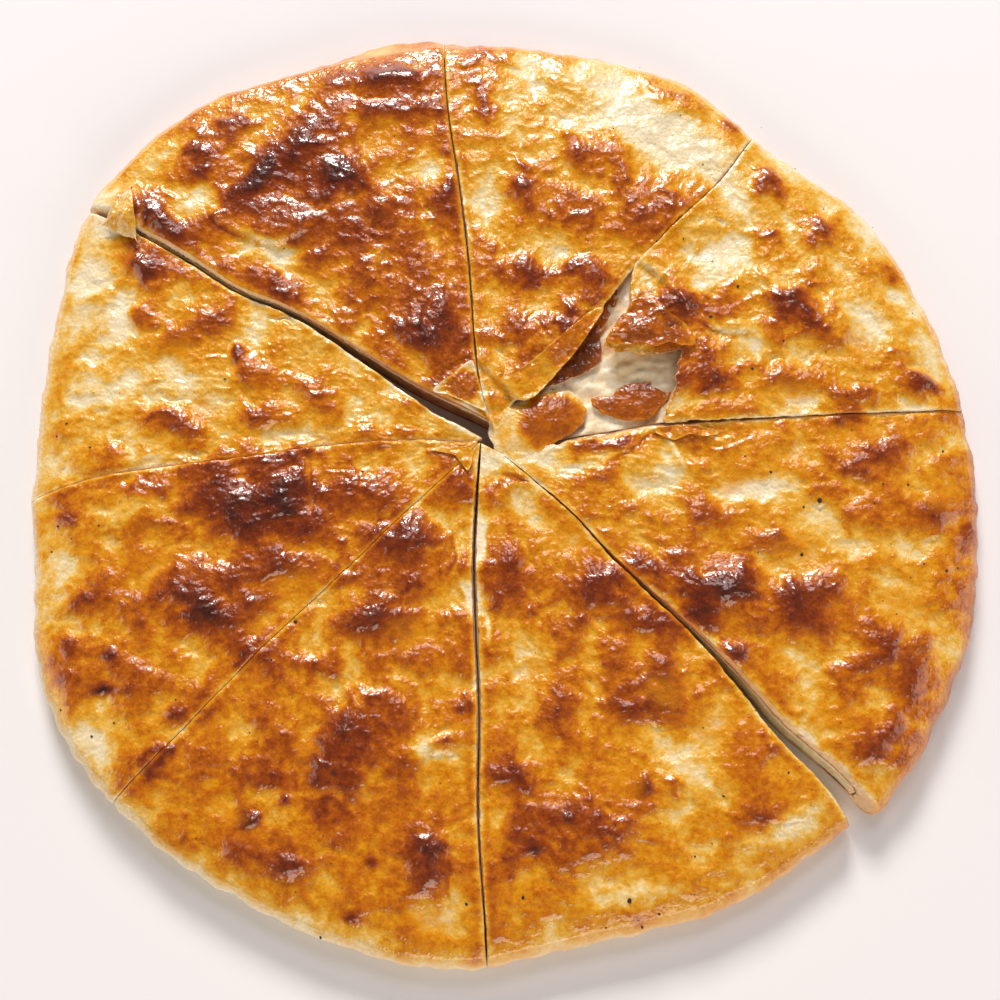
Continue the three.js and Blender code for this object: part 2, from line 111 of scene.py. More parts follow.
# Blisters: x, y, half length, half width, turn in degrees, height, how much darker they baked
BLISTERS = [
    # ene, the last three along the torn edge
    (95, 54, 17, 10, -35, 2.8, 0.55), (86, 96, 9, 6, 0, 1.6, 0.35), (102, 80, 8, 6, 20, 1.6, 0.4),
    (88, 31, 10, 4, 0, 1.2, 0.25), (110, 26, 8, 4, 10, 1.4, 0.3), (125, 30, 8, 5, 0, 1.5, 0.3),
    (86, 79, 6, 4, 0, 0.8, 0.25), (123, 67, 3, 3, 0, 0.4, 0.3), (134, 28, 6, 3, 0, 0.8, 0.3),
    (63, 33, 11, 9, 0, 1.5, 0.4), (47, 48, 14, 9, 30, 2.2, 0.34), (60, 54, 11, 8, 0, 1.2, 0.3),
    # nne, the last one along its cut edge
    (43, 89, 20, 9, -10, 1.9, 0.3), (6, 96, 5, 8, 0, 1.5, 0.3), (21, 108, 12, 8, 10, 1.4, 0.2),
    (-5, 74, 5, 9, 0, 1.2, 0.3), (20, 84, 8, 6, 0, 1, 0.28), (58, 125, 8, 5, -30, 1.6, 0.25),
    (9, 66, 8, 5, 20, 1, 0.35), (22, 67, 6, 4, 0, 0.8, 0.25), (-7, 123, 5, 6, 0, 0.8, 0.22),
    (74, 117, 5, 4, 0, 0.5, 0.3), (19, 48, 20, 5, 48, 1.6, 0.34), (-1, 141, 5, 3, 0, 0.7, 0.2),
    (-9, 137, 5, 12, 0, 0.6, 0.2), (4, 48, 7, 10, -20, 0.8, 0.2),
    # nnw
    (-65, 110, 10, 7, -10, 2.2, 0.38), (-79, 97, 13, 6, 50, 1.9, 0.55), (-55, 96, 11, 7, 0, 2, 0.45),
    (-39, 121, 17, 5, 5, 2, 0.28), (-37, 132, 15, 5, 8, 1.8, 0.25), (-100, 100, 9, 5, 20, 1.5, 0.35),
    (-86, 117, 7, 4, 0, 1.3, 0.35), (-111, 82, 12, 4, -40, 1.8, 0.35), (-74, 60, 9, 5, -20, 1.5, 0.3),
    (-22, 47, 13, 9, 60, 2.2, 0.32), (-19, 95, 5, 10, 0, 1.4, 0.22), (-44, 80, 20, 16, 0, 1.1, 0.15),
    (-42, 62, 8, 8, 0, 0.7, 0.15), (-102, 107, 5, 3, 0, 0.7, 0.3), (-15, 29, 6, 4, 30, 0.8, 0.25),
    (-70, 88, 20, 9, 10, 0.8, 0.1),
    # wnw
    (-112, 67, 13, 5, -40, 1.8, 0.45), (-115, 51, 6, 4, 0, 1.1, 0.3), (-90, 51, 7, 4, 0, 1.1, 0.28),
    (-107, 16, 9, 6, 0, 1.5, 0.3), (-78, 34, 8, 5, 0, 1.3, 0.25), (-77, 21, 7, 4, 0, 1.1, 0.28),
    (-58, 26, 10, 5, -20, 1.3, 0.22), (-105, 43, 6, 4, 0, 0.7, 0.2), (-67, 7, 7, 4, 0, 0.7, 0.25),
    (-86, 39, 2.5, 2.5, 0, 1, 0.5), (-47, 28, 5, 3, 0, 0.6, 0.2), (-28, 14, 9, 3, -5, 0.5, 0.2),
    # wsw
    (-75, -12, 27, 15, -20, 1.4, 0.34), (-95, -38, 13, 10, -30, 2.2, 0.34), (-133, -39, 6, 4, 0, 1, 0.25),
    (-111, -87, 6, 4, 0, 1.1, 0.2), (-83, -56, 6, 5, 0, 1.1, 0.25), (-99, -75, 5, 4, 0, 1.2, 0.35),
    (-93, -43, 5, 4, 0, 0.8, 0.4), (-138, -12, 4, 3, 0, 0.5, 0.28), (-125, -67, 3.4, 2.2, 0, 0.4, 0.7),
    (-123, -57, 3, 2, 0, 0.4, 0.35), (-135, -54, 3, 3, 0, 0.4, 0.25), (-62, -3, 10, 5, 30, 0.6, 0.2),
    # ssw
    (-30, -23, 10, 7, 0, 1.8, 0.27), (-42, -43, 10, 7, 0, 2, 0.3), (-55, -59, 7, 5, 0, 1.3, 0.3),
    (-44, -74, 16, 6, 35, 1.8, 0.22), (-46, -88, 20, 10, 30, 2.2, 0.2), (-75, -92, 8, 6, 0, 1.3, 0.3),
    (-22, -117, 11, 7, 60, 2.2, 0.4), (-63, -120, 8, 5, 0, 1.2, 0.22), (-59, -103, 8, 6, 0, 0.8, 0.25),
    (-20, -84, 3.4, 2.6, 0, 1.5, 0.6), (-13, -72, 4, 4, 0, 0.6, 0.2), (-107, -92, 4, 3, 0, 0.5, 0.3),
    (-77, -105, 2.4, 2.2, 0, 1.1, 0.5), (-67, -101, 2, 2, 0, 0.9, 0.5), (-46, -135, 2.4, 2, 0, 0.6, 0.4),
    (-105, -86, 2.5, 2, 0, 0.6, 0.4), (-41, -119, 2.4, 2, 0, 0.7, 0.4), (-70, -99, 26, 18, 10, 0, 0.08),
    # sse
    (-2, -31, 6, 9, 0, 1.3, 0.28), (31, -35, 17, 7, 20, 1.5, 0.25), (45, -46, 8, 5, 0, 1.2, 0.3),
    (42, -72, 9, 6, 0, 1.4, 0.3), (4, -92, 8, 6, 0, 1.4, 0.35), (28, -110, 16, 10, 20, 2.4, 0.25),
    (81, -84, 6, 4, 0, 1.2, 0.22), (80, -103, 7, 4, 0, 1.2, 0.25), (14, -40, 6, 5, 0, 0.6, 0.2),
    (2, -119, 5, 6, 0, 0.8, 0.25), (41, -96, 2.6, 2.2, 0, 1, 0.42), (53, -95, 3.4, 2.8, 0, 1.2, 0.45),
    (19, -104, 2.4, 2, 0, 0.8, 0.4), (7, -115, 2, 2, 0, 0.6, 0.4), (24, -60, 22, 14, 0, 0, 0.1),
    (8, -105, 8, 6, 0, 0.6, 0.2), (20, -72, 6, 4, 0, 0.7, 0.15),
    # ese
    (105, 3, 10, 6, 0, 1.5, 0.3), (121, 7, 7, 4, 0, 1.3, 0.3), (136, -14, 5, 9, 20, 1.5, 0.28),
    (66, -35, 19, 9, -15, 3, 0.5), (93, -39, 10, 8, 0, 1.7, 0.32), (67, -56, 8, 4, 0, 1.2, 0.25),
    (116, -52, 11, 9, 0, 1.8, 0.3), (116, -85, 9, 7, 0, 1.4, 0.3), (32, -1, 7, 5, 0, 0.7, 0.15),
    (109, 18, 6, 3, 0, 0.6, 0.3), (59, -45, 6, 5, 0, 0.7, 0.3), (103, -66, 9, 7, 0, 0.8, 0.2),
    (60, -13, 9, 5, 0, 0.7, 0.15), (83, -20, 8, 4, 20, 0.7, 0.12), (145, -16, 5, 22, -6, 0, 0.22),
    (128, -66, 10, 14, -30, 0, 0.14), (62, 12, 9, 3, 10, 0.6, 0.2), (38, 11, 14, 3, 10, 0.4, 0.3),
    (21, 9, 7, 3, 20, 0.2, 0.2),
]

# Where the dough stayed pale: x, y, half length, half width, turn, how much paler
PALE = [
    (-15, 14.6, 5, 1.8, -18, 0.3), (-102, 90, 8, 5, 0, 0.3), (-76, 72, 10, 5, -20, 0.32),
    (-27, 100, 7, 5, 0, 0.22), (-113, 106, 8, 5, 40, 0.25), (-130, 88, 9, 9, 45, 0.3),
    (-13, 21, 6, 3, -25, 0.3), (-20, -84, 8, 7, 0, 0.3), (-66, -103, 5, 7, 30, 0.3),
    (12, 8, 10, 4, 25, 0.32), (-7.5, -22, 1.6, 7, 0, 0.5), (-12, -38, 1.6, 5, 0, 0.5),
    (-7, -47, 1.2, 6, 0, 0.35), (-9, 27, 4, 3, 0, 0.25), (53, -92, 9, 6, 0, 0.2),
    (-57, 86, 9, 5, 0, 0.12), (-135, 62, 6, 14, -15, 0.3), (-125, 51, 6, 6, 0, 0.25),
    (-129, 28, 9, 7, 0, 0.2), (-114, 5, 8, 4, 0, 0.2), (-116, -11, 12, 5, 15, 0.32),
    (-140, -30, 6, 14, 0, 0.15), (43, 117, 14, 8, -30, 0.38), (56, 113, 12, 8, -20, 0.34),
    (28, 134, 16, 6, -8, 0.22), (70, 105, 10, 7, 0, 0.2), (-25, -85, 6, 4, 0, 0.3),
    (66, 66, 9, 6, 30, 0.25), (74, 44, 7, 6, 0, 0.25), (110, 50, 12, 10, 0, 0.26),
    (118, 86, 14, 8, -50, 0.3), (84, 64, 10, 5, 10, 0.2), (76, 92, 10, 6, -30, 0.2),
    (60, 84, 8, 7, 0, 0.2), (137, 50, 7, 12, -10, 0.2), (99, 100, 14, 7, -40, 0.2),
    (48, 2, 12, 5, 0, 0.2), (80, -4, 12, 4, 10, 0.18), (24, 5, 8, 3, 30, 0.2),
    (-125, -84, 10, 6, -50, 0.25), (60, -96, 14, 8, 20, 0.15), (86, -108, 14, 5, 35, 0.3),
    (40, -128, 16, 4, 12, 0.25), (-5, 5, 7, 5, 0, 0.2), (-100, 30, 12, 6, 0, 0.12),
    (-60, 45, 10, 5, -25, 0.15), (0, 120, 6, 10, 0, 0.12),
]

# Pools of melted butter: x, y, radius
POOLS = [
    (-103, 40, 6), (-97, 21, 6), (-103, 49, 4), (89, 4, 7), (108, 12, 6), (134, -6, 6), (124, -41, 7),
    (90, -24, 8), (-23, -136, 7), (67, 59, 3), (108, 41, 6), (93, 27, 5), (3, 53, 4), (72, 0, 6),
    (-84, -104, 5), (20, -20, 7), (48, -68, 6), (62, -78, 6), (12, -62, 7), (-62, -84, 5), (-30, -50, 6),
    (-112, -28, 6), (-66, -36, 8), (-52, 10, 6), (-88, 62, 4), (-40, 108, 5), (52, 74, 5), (36, -94, 5),
    (100, -74, 6),
]

# Edges where one skin of dough lies over another: points with the upper skin on their left, how high
# it stands, how far back that fades, how wide its edge slopes, and how much paler the edge is
FOLDS = [
    ([(-12, 41), (-3, 31), (6, 23)], 1.2, 6, 1, 0.08),
    ([(-8, 38), (-16, 32), (-26, 25)], 0.8, 6, 1, 0.05),
    ([(-60, -18), (-61, -6), (-63, 6)], 0.7, 7, 0.5, 0.16),
    ([(57, 0), (53, 9), (46, 16)], 1.1, 6, 0.5, 0.25),
    ([(71, 9), (64, 13), (57, 14), (52, 17)], 0.9, 4, 0.5, 0.18),
    ([(14, -5), (7, -3), (0, -4), (-5, -10)], 1.1, 6, 0.8, 0.06),
    ([(-120, 77), (-117, 87), (-122, 98)], 2.2, 9, 0.9, 0.15),
    ([(-2, 2), (4, 0), (10, -3)], 0.7, 4, 0.5, 0.1), ([(41, 72), (52, 62), (60, 50)], 1.3, 7, 1, 0.15),
    ([(-88, 81), (-76, 76), (-66, 79), (-60, 84)], 1.6, 7, 1.1, 0.14),
    ([(-97, 88), (-88, 80), (-80, 79)], 0.9, 4, 0.8, 0.1),
    ([(-15, -119), (-17, -126), (-15, -131)], 0.6, 4, 0.5, 0.12),
    ([(60, 52), (70, 46), (80, 47)], 1, 5, 0.8, 0.1),
    ([(-34, 88), (-42, 93), (-52, 101)], 1.5, 6, 1, 0.06),
    ([(-20, 84), (-33, 84), (-44, 90)], 1, 5, 0.8, 0.08),
    ([(-127, 78), (-126, 88), (-124, 97)], 1.2, 3, 0.8, 0),
    ([(-36, 58), (-42, 66), (-38, 76)], 1.2, 5, 1, 0.06), ([(20, 36), (14, 42), (8, 52)], 1, 5, 0.8, 0.1),
    ([(-17, -16), (-15, -26), (-18, -34)], 0.6, 5, 0.5, 0.12),
    ([(30, 4), (40, 10), (46, 16)], 0.8, 5, 0.6, 0.08),
    ([(-20, 60), (-26, 50), (-22, 40)], 0.9, 6, 1, 0.05),
]

# Where the top sheet of a slice stands clear of the filling: x, y, radius, lift, thickness left there
LIFTED = [
    (33, 44, 8, 2.4, 1.2), (45, 39, 12, 2.6, 1.1), (58, 38, 8, 1.1, 1.4), (54, 26, 7, 1.2, 1.4),
    (8, 27, 8, 1.2, 1.3), (18, 39, 9, 1.6, 1.3), (28, 50, 8, 1.2, 1.4), (-10, 24, 7, 1, 1.4),
    (-128, 88, 8, 2, 2.5),
]

# The torn edge of the ene slice's top sheet: place across the slice, and share of the way to the rim
TEAR = [
    (0, 0.345), (0.035, 0.348), (0.165, 0.375), (0.3, 0.408), (0.385, 0.432), (0.45, 0.452), (0.475, 0.4),
    (0.535, 0.368), (0.645, 0.337), (0.765, 0.327), (0.82, 0.368), (0.85, 0.44), (0.94, 0.5), (1, 0.54),
]

# How dark the rim's side baked all round, from east counter-clockwise every 30 degrees
RIM_BAKE = [0.55, 0.28, 0.16, 0.42, 0.36, 0.2, 0.14, 0.06, 0.02, 0.14, 0.28, 0.5]

# Lumps of the top crust: their size in mm, and their height in mm on calm skin
SWELL_SIZE, SWELL = 18, 1.15
HUMP_SIZE, HUMP = 8.5, 0.7
FOLD_SIZE, FOLD = 9.5, 0.15
CREASE_SIZE, CREASE = 4.4, 0.13
RIPPLE_SIZE, RIPPLE = 3, 0.26
PEBBLE_SIZE, PEBBLE = 2.4, 0.2
TINY_SIZE, TINY = 1.5, 0.13
BLISTER_LIFT = 1.15
PLAIN_BAKE = 0.39
BURNT_FROM = 0.68

# ------------------------------------------------------------------ how finely things are divided
ACROSS = 160
TOP_ROWS = 200
RIM_ROWS = 16
FLOOR_ROWS = 16
COARSE = 4
FILLING_ROWS = 120
FILLING_THICK = 8
FLAKE_RINGS = 20
FLAKE_SEGMENTS = 120
WELD_PER_MM = 2000


# ------------------------------------------------------------------ noise

def chance(ix, iy, seed):
    """A fixed random number of 0 to 1 for each cell of a grid."""
    mixed = ix.astype(np.int64) * 374761393 + iy.astype(np.int64) * 668265263 + seed * 974634777
    mixed = mixed & 0xFFFFFFFF
    mixed = ((mixed ^ (mixed >> 13)) * 1274126177) & 0xFFFFFFFF
    mixed = ((mixed ^ (mixed >> 16)) * 2246822519) & 0xFFFFFFFF
    return (mixed ^ (mixed >> 15)) / 0xFFFFFFFF


def waves(x, y, size, seed):
    """Smooth noise of about -1 to 1 with lumps of a size in mm."""
    gx, gy = x / size, y / size
    ix, iy = np.floor(gx), np.floor(gy)
    fx, fy = gx - ix, gy - iy
    ease = lambda t: t * t * t * (t * (6 * t - 15) + 10)

    def corner(cx, cy):
        angle = chance(ix + cx, iy + cy, seed) * 2 * math.pi
        return np.cos(angle) * (fx - cx) + np.sin(angle) * (fy - cy)

    low = corner(0, 0) + (corner(1, 0) - corner(0, 0)) * ease(fx)
    high = corner(0, 1) + (corner(1, 1) - corner(0, 1)) * ease(fx)
    return 1.5 * (low + (high - low) * ease(fy))


def rough(x, y, size, seed, octaves=3):
    """Noise with finer noise on it."""
    total = 0
    for octave in range(octaves):
        total = total + waves(x, y, size / 2 ** octave, seed + octave) / 2 ** octave
    return total


def bubbles(x, y, size, seed, filled=0.7):
    """Small domes of 0 to 1, each with its own size, in a share of the cells of a grid."""
    gx, gy = x / size, y / size
    ix, iy = np.floor(gx), np.floor(gy)
    found = np.zeros_like(x)
    for dx in (-1, 0, 1):
        for dy in (-1, 0, 1):
            cx, cy = ix + dx, iy + dy
            px = cx + 0.2 + 0.6 * chance(cx, cy, seed)
            py = cy + 0.2 + 0.6 * chance(cx, cy, seed + 1)
            radius = 0.25 + 0.4 * chance(cx, cy, seed + 2)
            dome = 1 - ((gx - px) ** 2 + (gy - py) ** 2) / radius ** 2
            dome = np.where(chance(cx, cy, seed + 3) < filled, dome, 0)
            found = np.maximum(found, np.clip(dome, 0, 1) ** 0.7 * radius / 0.65)
    return found


def smooth(low, high, value):
    share = np.clip((value - low) / (high - low), 0, 1)
    return share * share * (3 - 2 * share)


# ------------------------------------------------------------------ plan of the bread

def catmull(points, count, closed=False):
    """Points spaced evenly along a smooth line through the given ones."""
    ends = np.asarray(points, float)
    first = ends[-1] if closed else 2 * ends[0] - ends[1]
    tail = ends[:2] if closed else (2 * ends[-1] - ends[-2])[None]
    hull = np.vstack([first, ends, tail])
    spans = len(hull) - 3
    place = np.linspace(0, spans, count * 8)
    index = np.minimum(place.astype(int), spans - 1)
    t = (place - index)[:, None]
    a, b, c, d = (hull[index + step] for step in range(4))
    line = b + 0.5 * t * (c - a + t * (2 * a - 5 * b + 4 * c - d + t * (3 * (b - c) + d - a)))
    run = np.concatenate([[0], np.cumsum(np.linalg.norm(np.diff(line, axis=0), axis=1))])
    share = np.linspace(0, 1, count)
    return np.stack([np.interp(share, run / run[-1], line[:, axis]) for axis in range(line.shape[1])], 1)


rim_line = catmull([(d, r) for d, r in RIM] + [(RIM[0][0] + 360, RIM[0][1])], 720)
rim_angles = np.concatenate([rim_line[:, 0] - 360, rim_line[:, 0], rim_line[:, 0] + 360])
rim_radii = np.tile(rim_line[:, 1], 3)


def rim_radius(angle):
    """Outer radius at an angle in degrees, with the small unevenness of hand-folded dough."""
    radius = np.interp(angle, rim_angles, rim_radii)
    turn = np.radians(angle)
    x, y = REACH * np.cos(turn), REACH * np.sin(turn)
    return radius + 0.7 * waves(x, y, 19, 5) + 0.35 * waves(x, y, 6, 6)


def degrees_of(xy):
    return np.degrees(np.arctan2(xy[..., 1], xy[..., 0]))


for cut in CUTS:
    plain = float(np.interp(cut["end"], rim_angles, rim_radii))
    turn = math.radians(cut["end"])
    route = cut["route"] + [(plain * math.cos(turn), plain * math.sin(turn))]
    cut["line"] = catmull(route, 400)
    run = np.gradient(cut["line"], axis=0)
    run /= np.linalg.norm(run, axis=1)[:, None]
    cut["normal"] = np.stack([-run[:, 1], run[:, 0]], 1)


def inset_of(x, y):
    """How far in from the bread's outline a place lies, in mm."""
    return np.maximum(rim_radius(np.degrees(np.arctan2(y, x))) - np.hypot(x, y), 0)


def even(values, share):
    """A value from an evenly spaced list, at a share of the way along it."""
    return np.interp(share, np.linspace(0, 1, len(values)), values)


def side_bake(angle):
    """How dark the rim's side baked at an angle in degrees."""
    return even(RIM_BAKE + RIM_BAKE[:1], angle % 360 / 360)


def cut_side(cut, side, share, lean, ragged):
    """Points on a side of a cut: 1 is the side of the slice after it, -1 of the slice before it."""
    places = np.linspace(0, 1, len(cut["line"]))
    point = np.stack([np.interp(share, places, cut["line"][:, axis]) for axis in (0, 1)], -1)
    normal = np.stack([np.interp(share, places, cut["normal"][:, axis]) for axis in (0, 1)], -1)
    x, y = point[..., 0], point[..., 1]
    tooth = 0.16 * waves(x, y, 2.6, 31 + side) + 0.2 * waves(x, y, 9, 33)
    back = even(lean[0], share) * lean[1] * np.minimum(share / LEAN_RUN, 1)
    back = back + ragged * even(cut["rag"], share) * np.abs(tooth) * np.minimum(share / 0.05, 1)
    offset = side * (even(cut["gaps"], share) / 2 + back)
    return point + normal * offset[..., None]


def plan(index, across, share, lifted, ragged=0.0):
    """Points of a slice's plan, from cut to cut (across) and from tip to rim (share)."""
    before, after = CUTS[index], CUTS[(index + 1) % len(CUTS)]
    across, share = np.broadcast_arrays(across, share)
    inner = np.minimum(share, 1)
    first = cut_side(before, 1, inner, (before["after"], lifted), ragged)
    last = cut_side(after, -1, inner, (after["before"], lifted), ragged)
    one = np.ones_like(across)
    corner_a = cut_side(before, 1, one, (before["after"], lifted), ragged)
    corner_b = cut_side(after, -1, one, (after["before"], lifted), ragged)
    start = degrees_of(corner_a)
    angle = start + (degrees_of(corner_b) - start) % 360 * across
    radius = rim_radius((angle + 180) % 360 - 180)
    arc = np.stack([radius * np.cos(np.radians(angle)), radius * np.sin(np.radians(angle))], -1)
    w = across[..., None]
    bulge = arc - corner_a * (1 - w) - corner_b * w
    point = first * (1 - w) + last * w + bulge * inner[..., None]
    return point * np.maximum(share, 1)[..., None]


# ------------------------------------------------------------------ height and bake of the top crust

def warped(x, y, far, size, seed):
    return x + far * waves(x, y, size, seed), y + far * waves(x, y, size, seed + 1)


def patches(x, y, rows, sharp=1.0):
    """The sum of soft oval patches, each row x, y, half length, half width, turn and strength."""
    total = np.zeros_like(x)
    for px, py, length, width, turn, strength in rows:
        near = (np.abs(x - px) < 3 * length + 3 * width) & (np.abs(y - py) < 3 * length + 3 * width)
        dx, dy = x[near] - px, y[near] - py
        c, s = math.cos(math.radians(turn)), math.sin(math.radians(turn))
        far = ((dx * c + dy * s) / length) ** 2 + ((dy * c - dx * s) / width) ** 2
        total[near] += strength * np.exp(-far ** sharp)
    return total


def skin_folds(x, y):
    """How high the folded skins stand at each place, and how much paler a place is near a skin's edge, with
    painted shade at the foot of the edge.
    """
    rise, edge = np.zeros_like(x), np.zeros_like(x)
    for points, height, fade, slope, paler in FOLDS:
        line = catmull(points, 60)
        low, high = line.min(0) - 2.5 * fade, line.max(0) + 2.5 * fade
        near = (x > low[0]) & (x < high[0]) & (y > low[1]) & (y < high[1])
        if not near.any():
            continue
        px, py = warped(x[near], y[near], 0.5, 4, 47)
        dx, dy = px[:, None] - line[:, 0], py[:, None] - line[:, 1]
        index = (dx ** 2 + dy ** 2).argmin(1)
        pick = np.arange(len(index))
        run = np.gradient(line, axis=0)[index]
        far = np.hypot(dx[pick, index], dy[pick, index])
        side = np.sign(run[:, 0] * dy[pick, index] - run[:, 1] * dx[pick, index])
        ends = smooth(0, 0.25, index / 59) * smooth(1, 0.75, index / 59)
        step = np.where(side > 0, np.exp(-(far / fade) ** 2), np.exp(-(far / slope) ** 2))
        rise[near] += height * ends * step
        lip = np.exp(-((far + 0.4 * side * slope) / (0.4 + 0.5 * slope)) ** 2)
        # Painted shade in a narrow band at the foot of each edge, on the lower skin
        shade_below_edge = np.where(side < 0, np.exp(-((far - 1.6 * slope) / 0.9) ** 2), 0)
        edge[near] = np.maximum(edge[near], paler * ends * lip) - 0.14 * ends * shade_below_edge
    return rise, edge


def level(x, y, lift):
    """Height of the top crust without its blisters."""
    return RIM_HEIGHT + (MIDDLE_HEIGHT - RIM_HEIGHT) * (1 - np.exp(-inset_of(x, y) / RISE)) + lift


def lifted_sheet(x, y):
    """How much the top sheet stands clear of the filling, and how thick it is there."""
    rise = np.zeros_like(x)
    thick = np.full_like(x, float(TOP_SHEET))
    for px, py, radius, lift, left in LIFTED:
        share = np.exp(-((x - px) ** 2 + (y - py) ** 2) / radius ** 2)
        rise = np.maximum(rise, lift * share)
        thick = np.minimum(thick, TOP_SHEET - (TOP_SHEET - left) * smooth(0.15, 0.6, share))
    return rise, thick


def top_crust(x, y, lift, darker):
    """Height, bake (0 pale to 1 burnt) and butter (0 to 1) of the top crust."""
    wx, wy = warped(x, y, 2.6, 12, 41)
    wx, wy = warped(wx, wy, 1.1, 4.6, 43)
    raised = patches(wx, wy, [row[:6] for row in BLISTERS], 1.25)
    browned = patches(wx, wy, [row[:5] + row[6:] for row in BLISTERS])
    pale = patches(wx, wy, PALE, 1.1)
    inset = inset_of(x, y)
    inside = smooth(1, 12, inset)
    # Slow swells over the curd, rounded humps, then finer wrinkles longer across than along
    swell = rough(x / 1.2, y, SWELL_SIZE, 51, 2)
    hump = rough(wx / 1.3, wy, HUMP_SIZE, 52, 2)
    fold = 0.55 - 2.4 * np.abs(waves(wx / 1.7, wy, FOLD_SIZE, 53))
    crease = 0.55 - 2.4 * np.abs(waves(wx / 1.5 + 0.3 * wy, wy, CREASE_SIZE, 55))
    ripple = rough(wx / 1.5, wy, RIPPLE_SIZE, 57, 2)
    blown = np.clip(browned, 0, 0.6)
    pebble = bubbles(x, y, PEBBLE_SIZE, 61, 0.8)
    tiny = bubbles(x, y, TINY_SIZE, 67, 0.7)
    pool = patches(wx, wy, [(px, py, r, r * 0.75, 0, 1.0) for px, py, r in POOLS], 1.6)
    pool = np.clip(pool * (0.85 + 0.5 * waves(x, y, 4, 71)), 0, 1)
    calm = 1 - 0.6 * pool
    rise, _ = lifted_sheet(x, y)
    # lip holds the folds' paler edges and the painted shade at their feet
    folded, lip = skin_folds(x, y)
    fine = (FOLD + 0.1 * blown) * fold + (CREASE + 0.08 * blown) * crease + RIPPLE * ripple
    fine += (PEBBLE + 0.1 * blown) * pebble + TINY * tiny
    z = level(x, y, lift) + BLISTER_LIFT * raised + rise + folded - 0.25 * pool
    z += inside * (SWELL * swell + calm * (HUMP * hump + fine))
    # darker: each slice's own tone, partly painted sky reflection on the back slices
    bake = PLAIN_BAKE + darker + 0.13 * swell + 0.1 * hump - 1.1 * pale
    bake += browned * (1.08 + 0.12 * fold + 0.1 * crease + 0.15 * hump)
    bake += 0.04 * fold + 0.03 * crease + 0.04 * ripple + (0.05 + 0.06 * blown) * pebble + 0.03 * tiny
    bake += 0.05 * rough(x, y, 3.6, 81, 3) - 0.04 * pool - lip - 0.06 * smooth(-0.3, -0.8, swell + hump)
    bake = np.where(bake > BURNT_FROM, BURNT_FROM + 0.6 * (bake - BURNT_FROM), bake)
    side = side_bake(np.degrees(np.arctan2(y, x)))
    edge = smooth(-2, 5 + 9 * (0.6 - side), inset + 3 * waves(x, y, 9, 83) + 1.2 * waves(x, y, 3.5, 84))
    return z, np.clip(bake * edge + side * (1 - edge), 0.02, 1), pool


# ------------------------------------------------------------------ meshes

class Skin:
    """Collects grids of points with their bake, butter and crumb, and welds them to one mesh."""

    def __init__(self):
        self.points, self.quads, self.looks, self.count = [], [], [], 0

    def add(self, xyz, looks, turned=False):
        """A grid of points (rows, columns, 3) with looks (rows, columns, 3)."""
        rows, columns = xyz.shape[:2]
        index = np.arange(rows * columns).reshape(rows, columns) + self.count
        square = np.stack([index[:-1, :-1], index[1:, :-1], index[1:, 1:], index[:-1, 1:]], -1).reshape(-1, 4)
        self._keep(xyz, looks, square[:, ::-1] if turned else square)

    def stitch(self, fine, coarse, looks, turned=False):
        """Closes a fine row of points to a coarse one that has every COARSE-th of them."""
        step = (len(fine) - 1) // (len(coarse) - 1)
        half = step // 2
        faces = []
        low = np.arange(len(coarse) - 1)
        f, c = self.count + low * step, self.count + len(fine) + low
        for k in range(step):
            if k == half:
                faces.append(np.stack([f + k, c + 1, c, f + k], -1))
            anchor = c if k < half else c + 1
            faces.append(np.stack([f + k, f + k + 1, anchor, f + k], -1))
        faces = np.concatenate(faces)
        self._keep(np.vstack([fine, coarse]), looks, faces[:, ::-1] if turned else faces)

    def _keep(self, xyz, looks, faces):
        self.points.append(xyz.reshape(-1, 3))
        self.looks.append(np.broadcast_to(looks, xyz.shape[:-1] + (3,)).reshape(-1, 3))
        self.quads.append(faces)
        self.count += len(self.points[-1])

    def mesh(self, name):
        """The welded mesh, in metres, with its looks as attributes."""
        points = np.concatenate(self.points)
        looks = np.concatenate(self.looks)
        cells = np.round(points * WELD_PER_MM).astype(np.int64)
        _, keep, back = np.unique(cells, axis=0, return_index=True, return_inverse=True)
        faces = back.reshape(-1)[np.concatenate(self.quads)]
        # Squares that lost a corner in the weld become triangles, and those that lost two are dropped
        same = faces == np.roll(faces, -1, axis=1)
        lost = same.sum(1)
        quads = faces[lost == 0]
        three = faces[lost == 1]
        triangles = three[~same[lost == 1]].reshape(-1, 3)
        triangles = triangles[triangles[:, 0] != triangles[:, 2]]
        loops = np.concatenate([quads.ravel(), triangles.ravel()])
        sizes = np.concatenate([np.full(len(quads), 4), np.full(len(triangles), 3)])
        mesh = bpy.data.meshes.new(name)
        mesh.vertices.add(len(keep))
        mesh.vertices.foreach_set("co", (points[keep] * MM).astype(np.float32).ravel())
        mesh.loops.add(len(loops))
        mesh.loops.foreach_set("vertex_index", loops.astype(np.int32))
        mesh.polygons.add(len(sizes))
        mesh.polygons.foreach_set("loop_start", np.concatenate([[0], np.cumsum(sizes)[:-1]]).astype(np.int32))
        for axis, attribute in enumerate(("bake", "butter", "crumb")):
            data = mesh.attributes.new(attribute, "FLOAT", "POINT").data
            data.foreach_set("value", looks[keep, axis].astype(np.float32))
        mesh.update(calc_edges=True)
        mesh.validate()
        mesh.shade_smooth()
        return mesh


def looks_of(bake, butter=0.0, crumb=0.0):
    return np.stack(np.broadcast_arrays(np.asarray(bake, float), butter, crumb), -1)


def with_height(flat, z):
    return np.concatenate([flat, np.broadcast_to(z, flat.shape[:-1])[..., None]], -1)


def tear_edge(name, across):
    """The share from tip to rim where a slice's top sheet starts."""
    if name != "ene":
        return np.zeros_like(across)
    ragged = 0.01 * waves(across * 100, across * 0, 7, 91) + 0.004 * waves(across * 100, across * 0, 2.6, 93)
    return np.interp(across, *zip(*TEAR)) + ragged


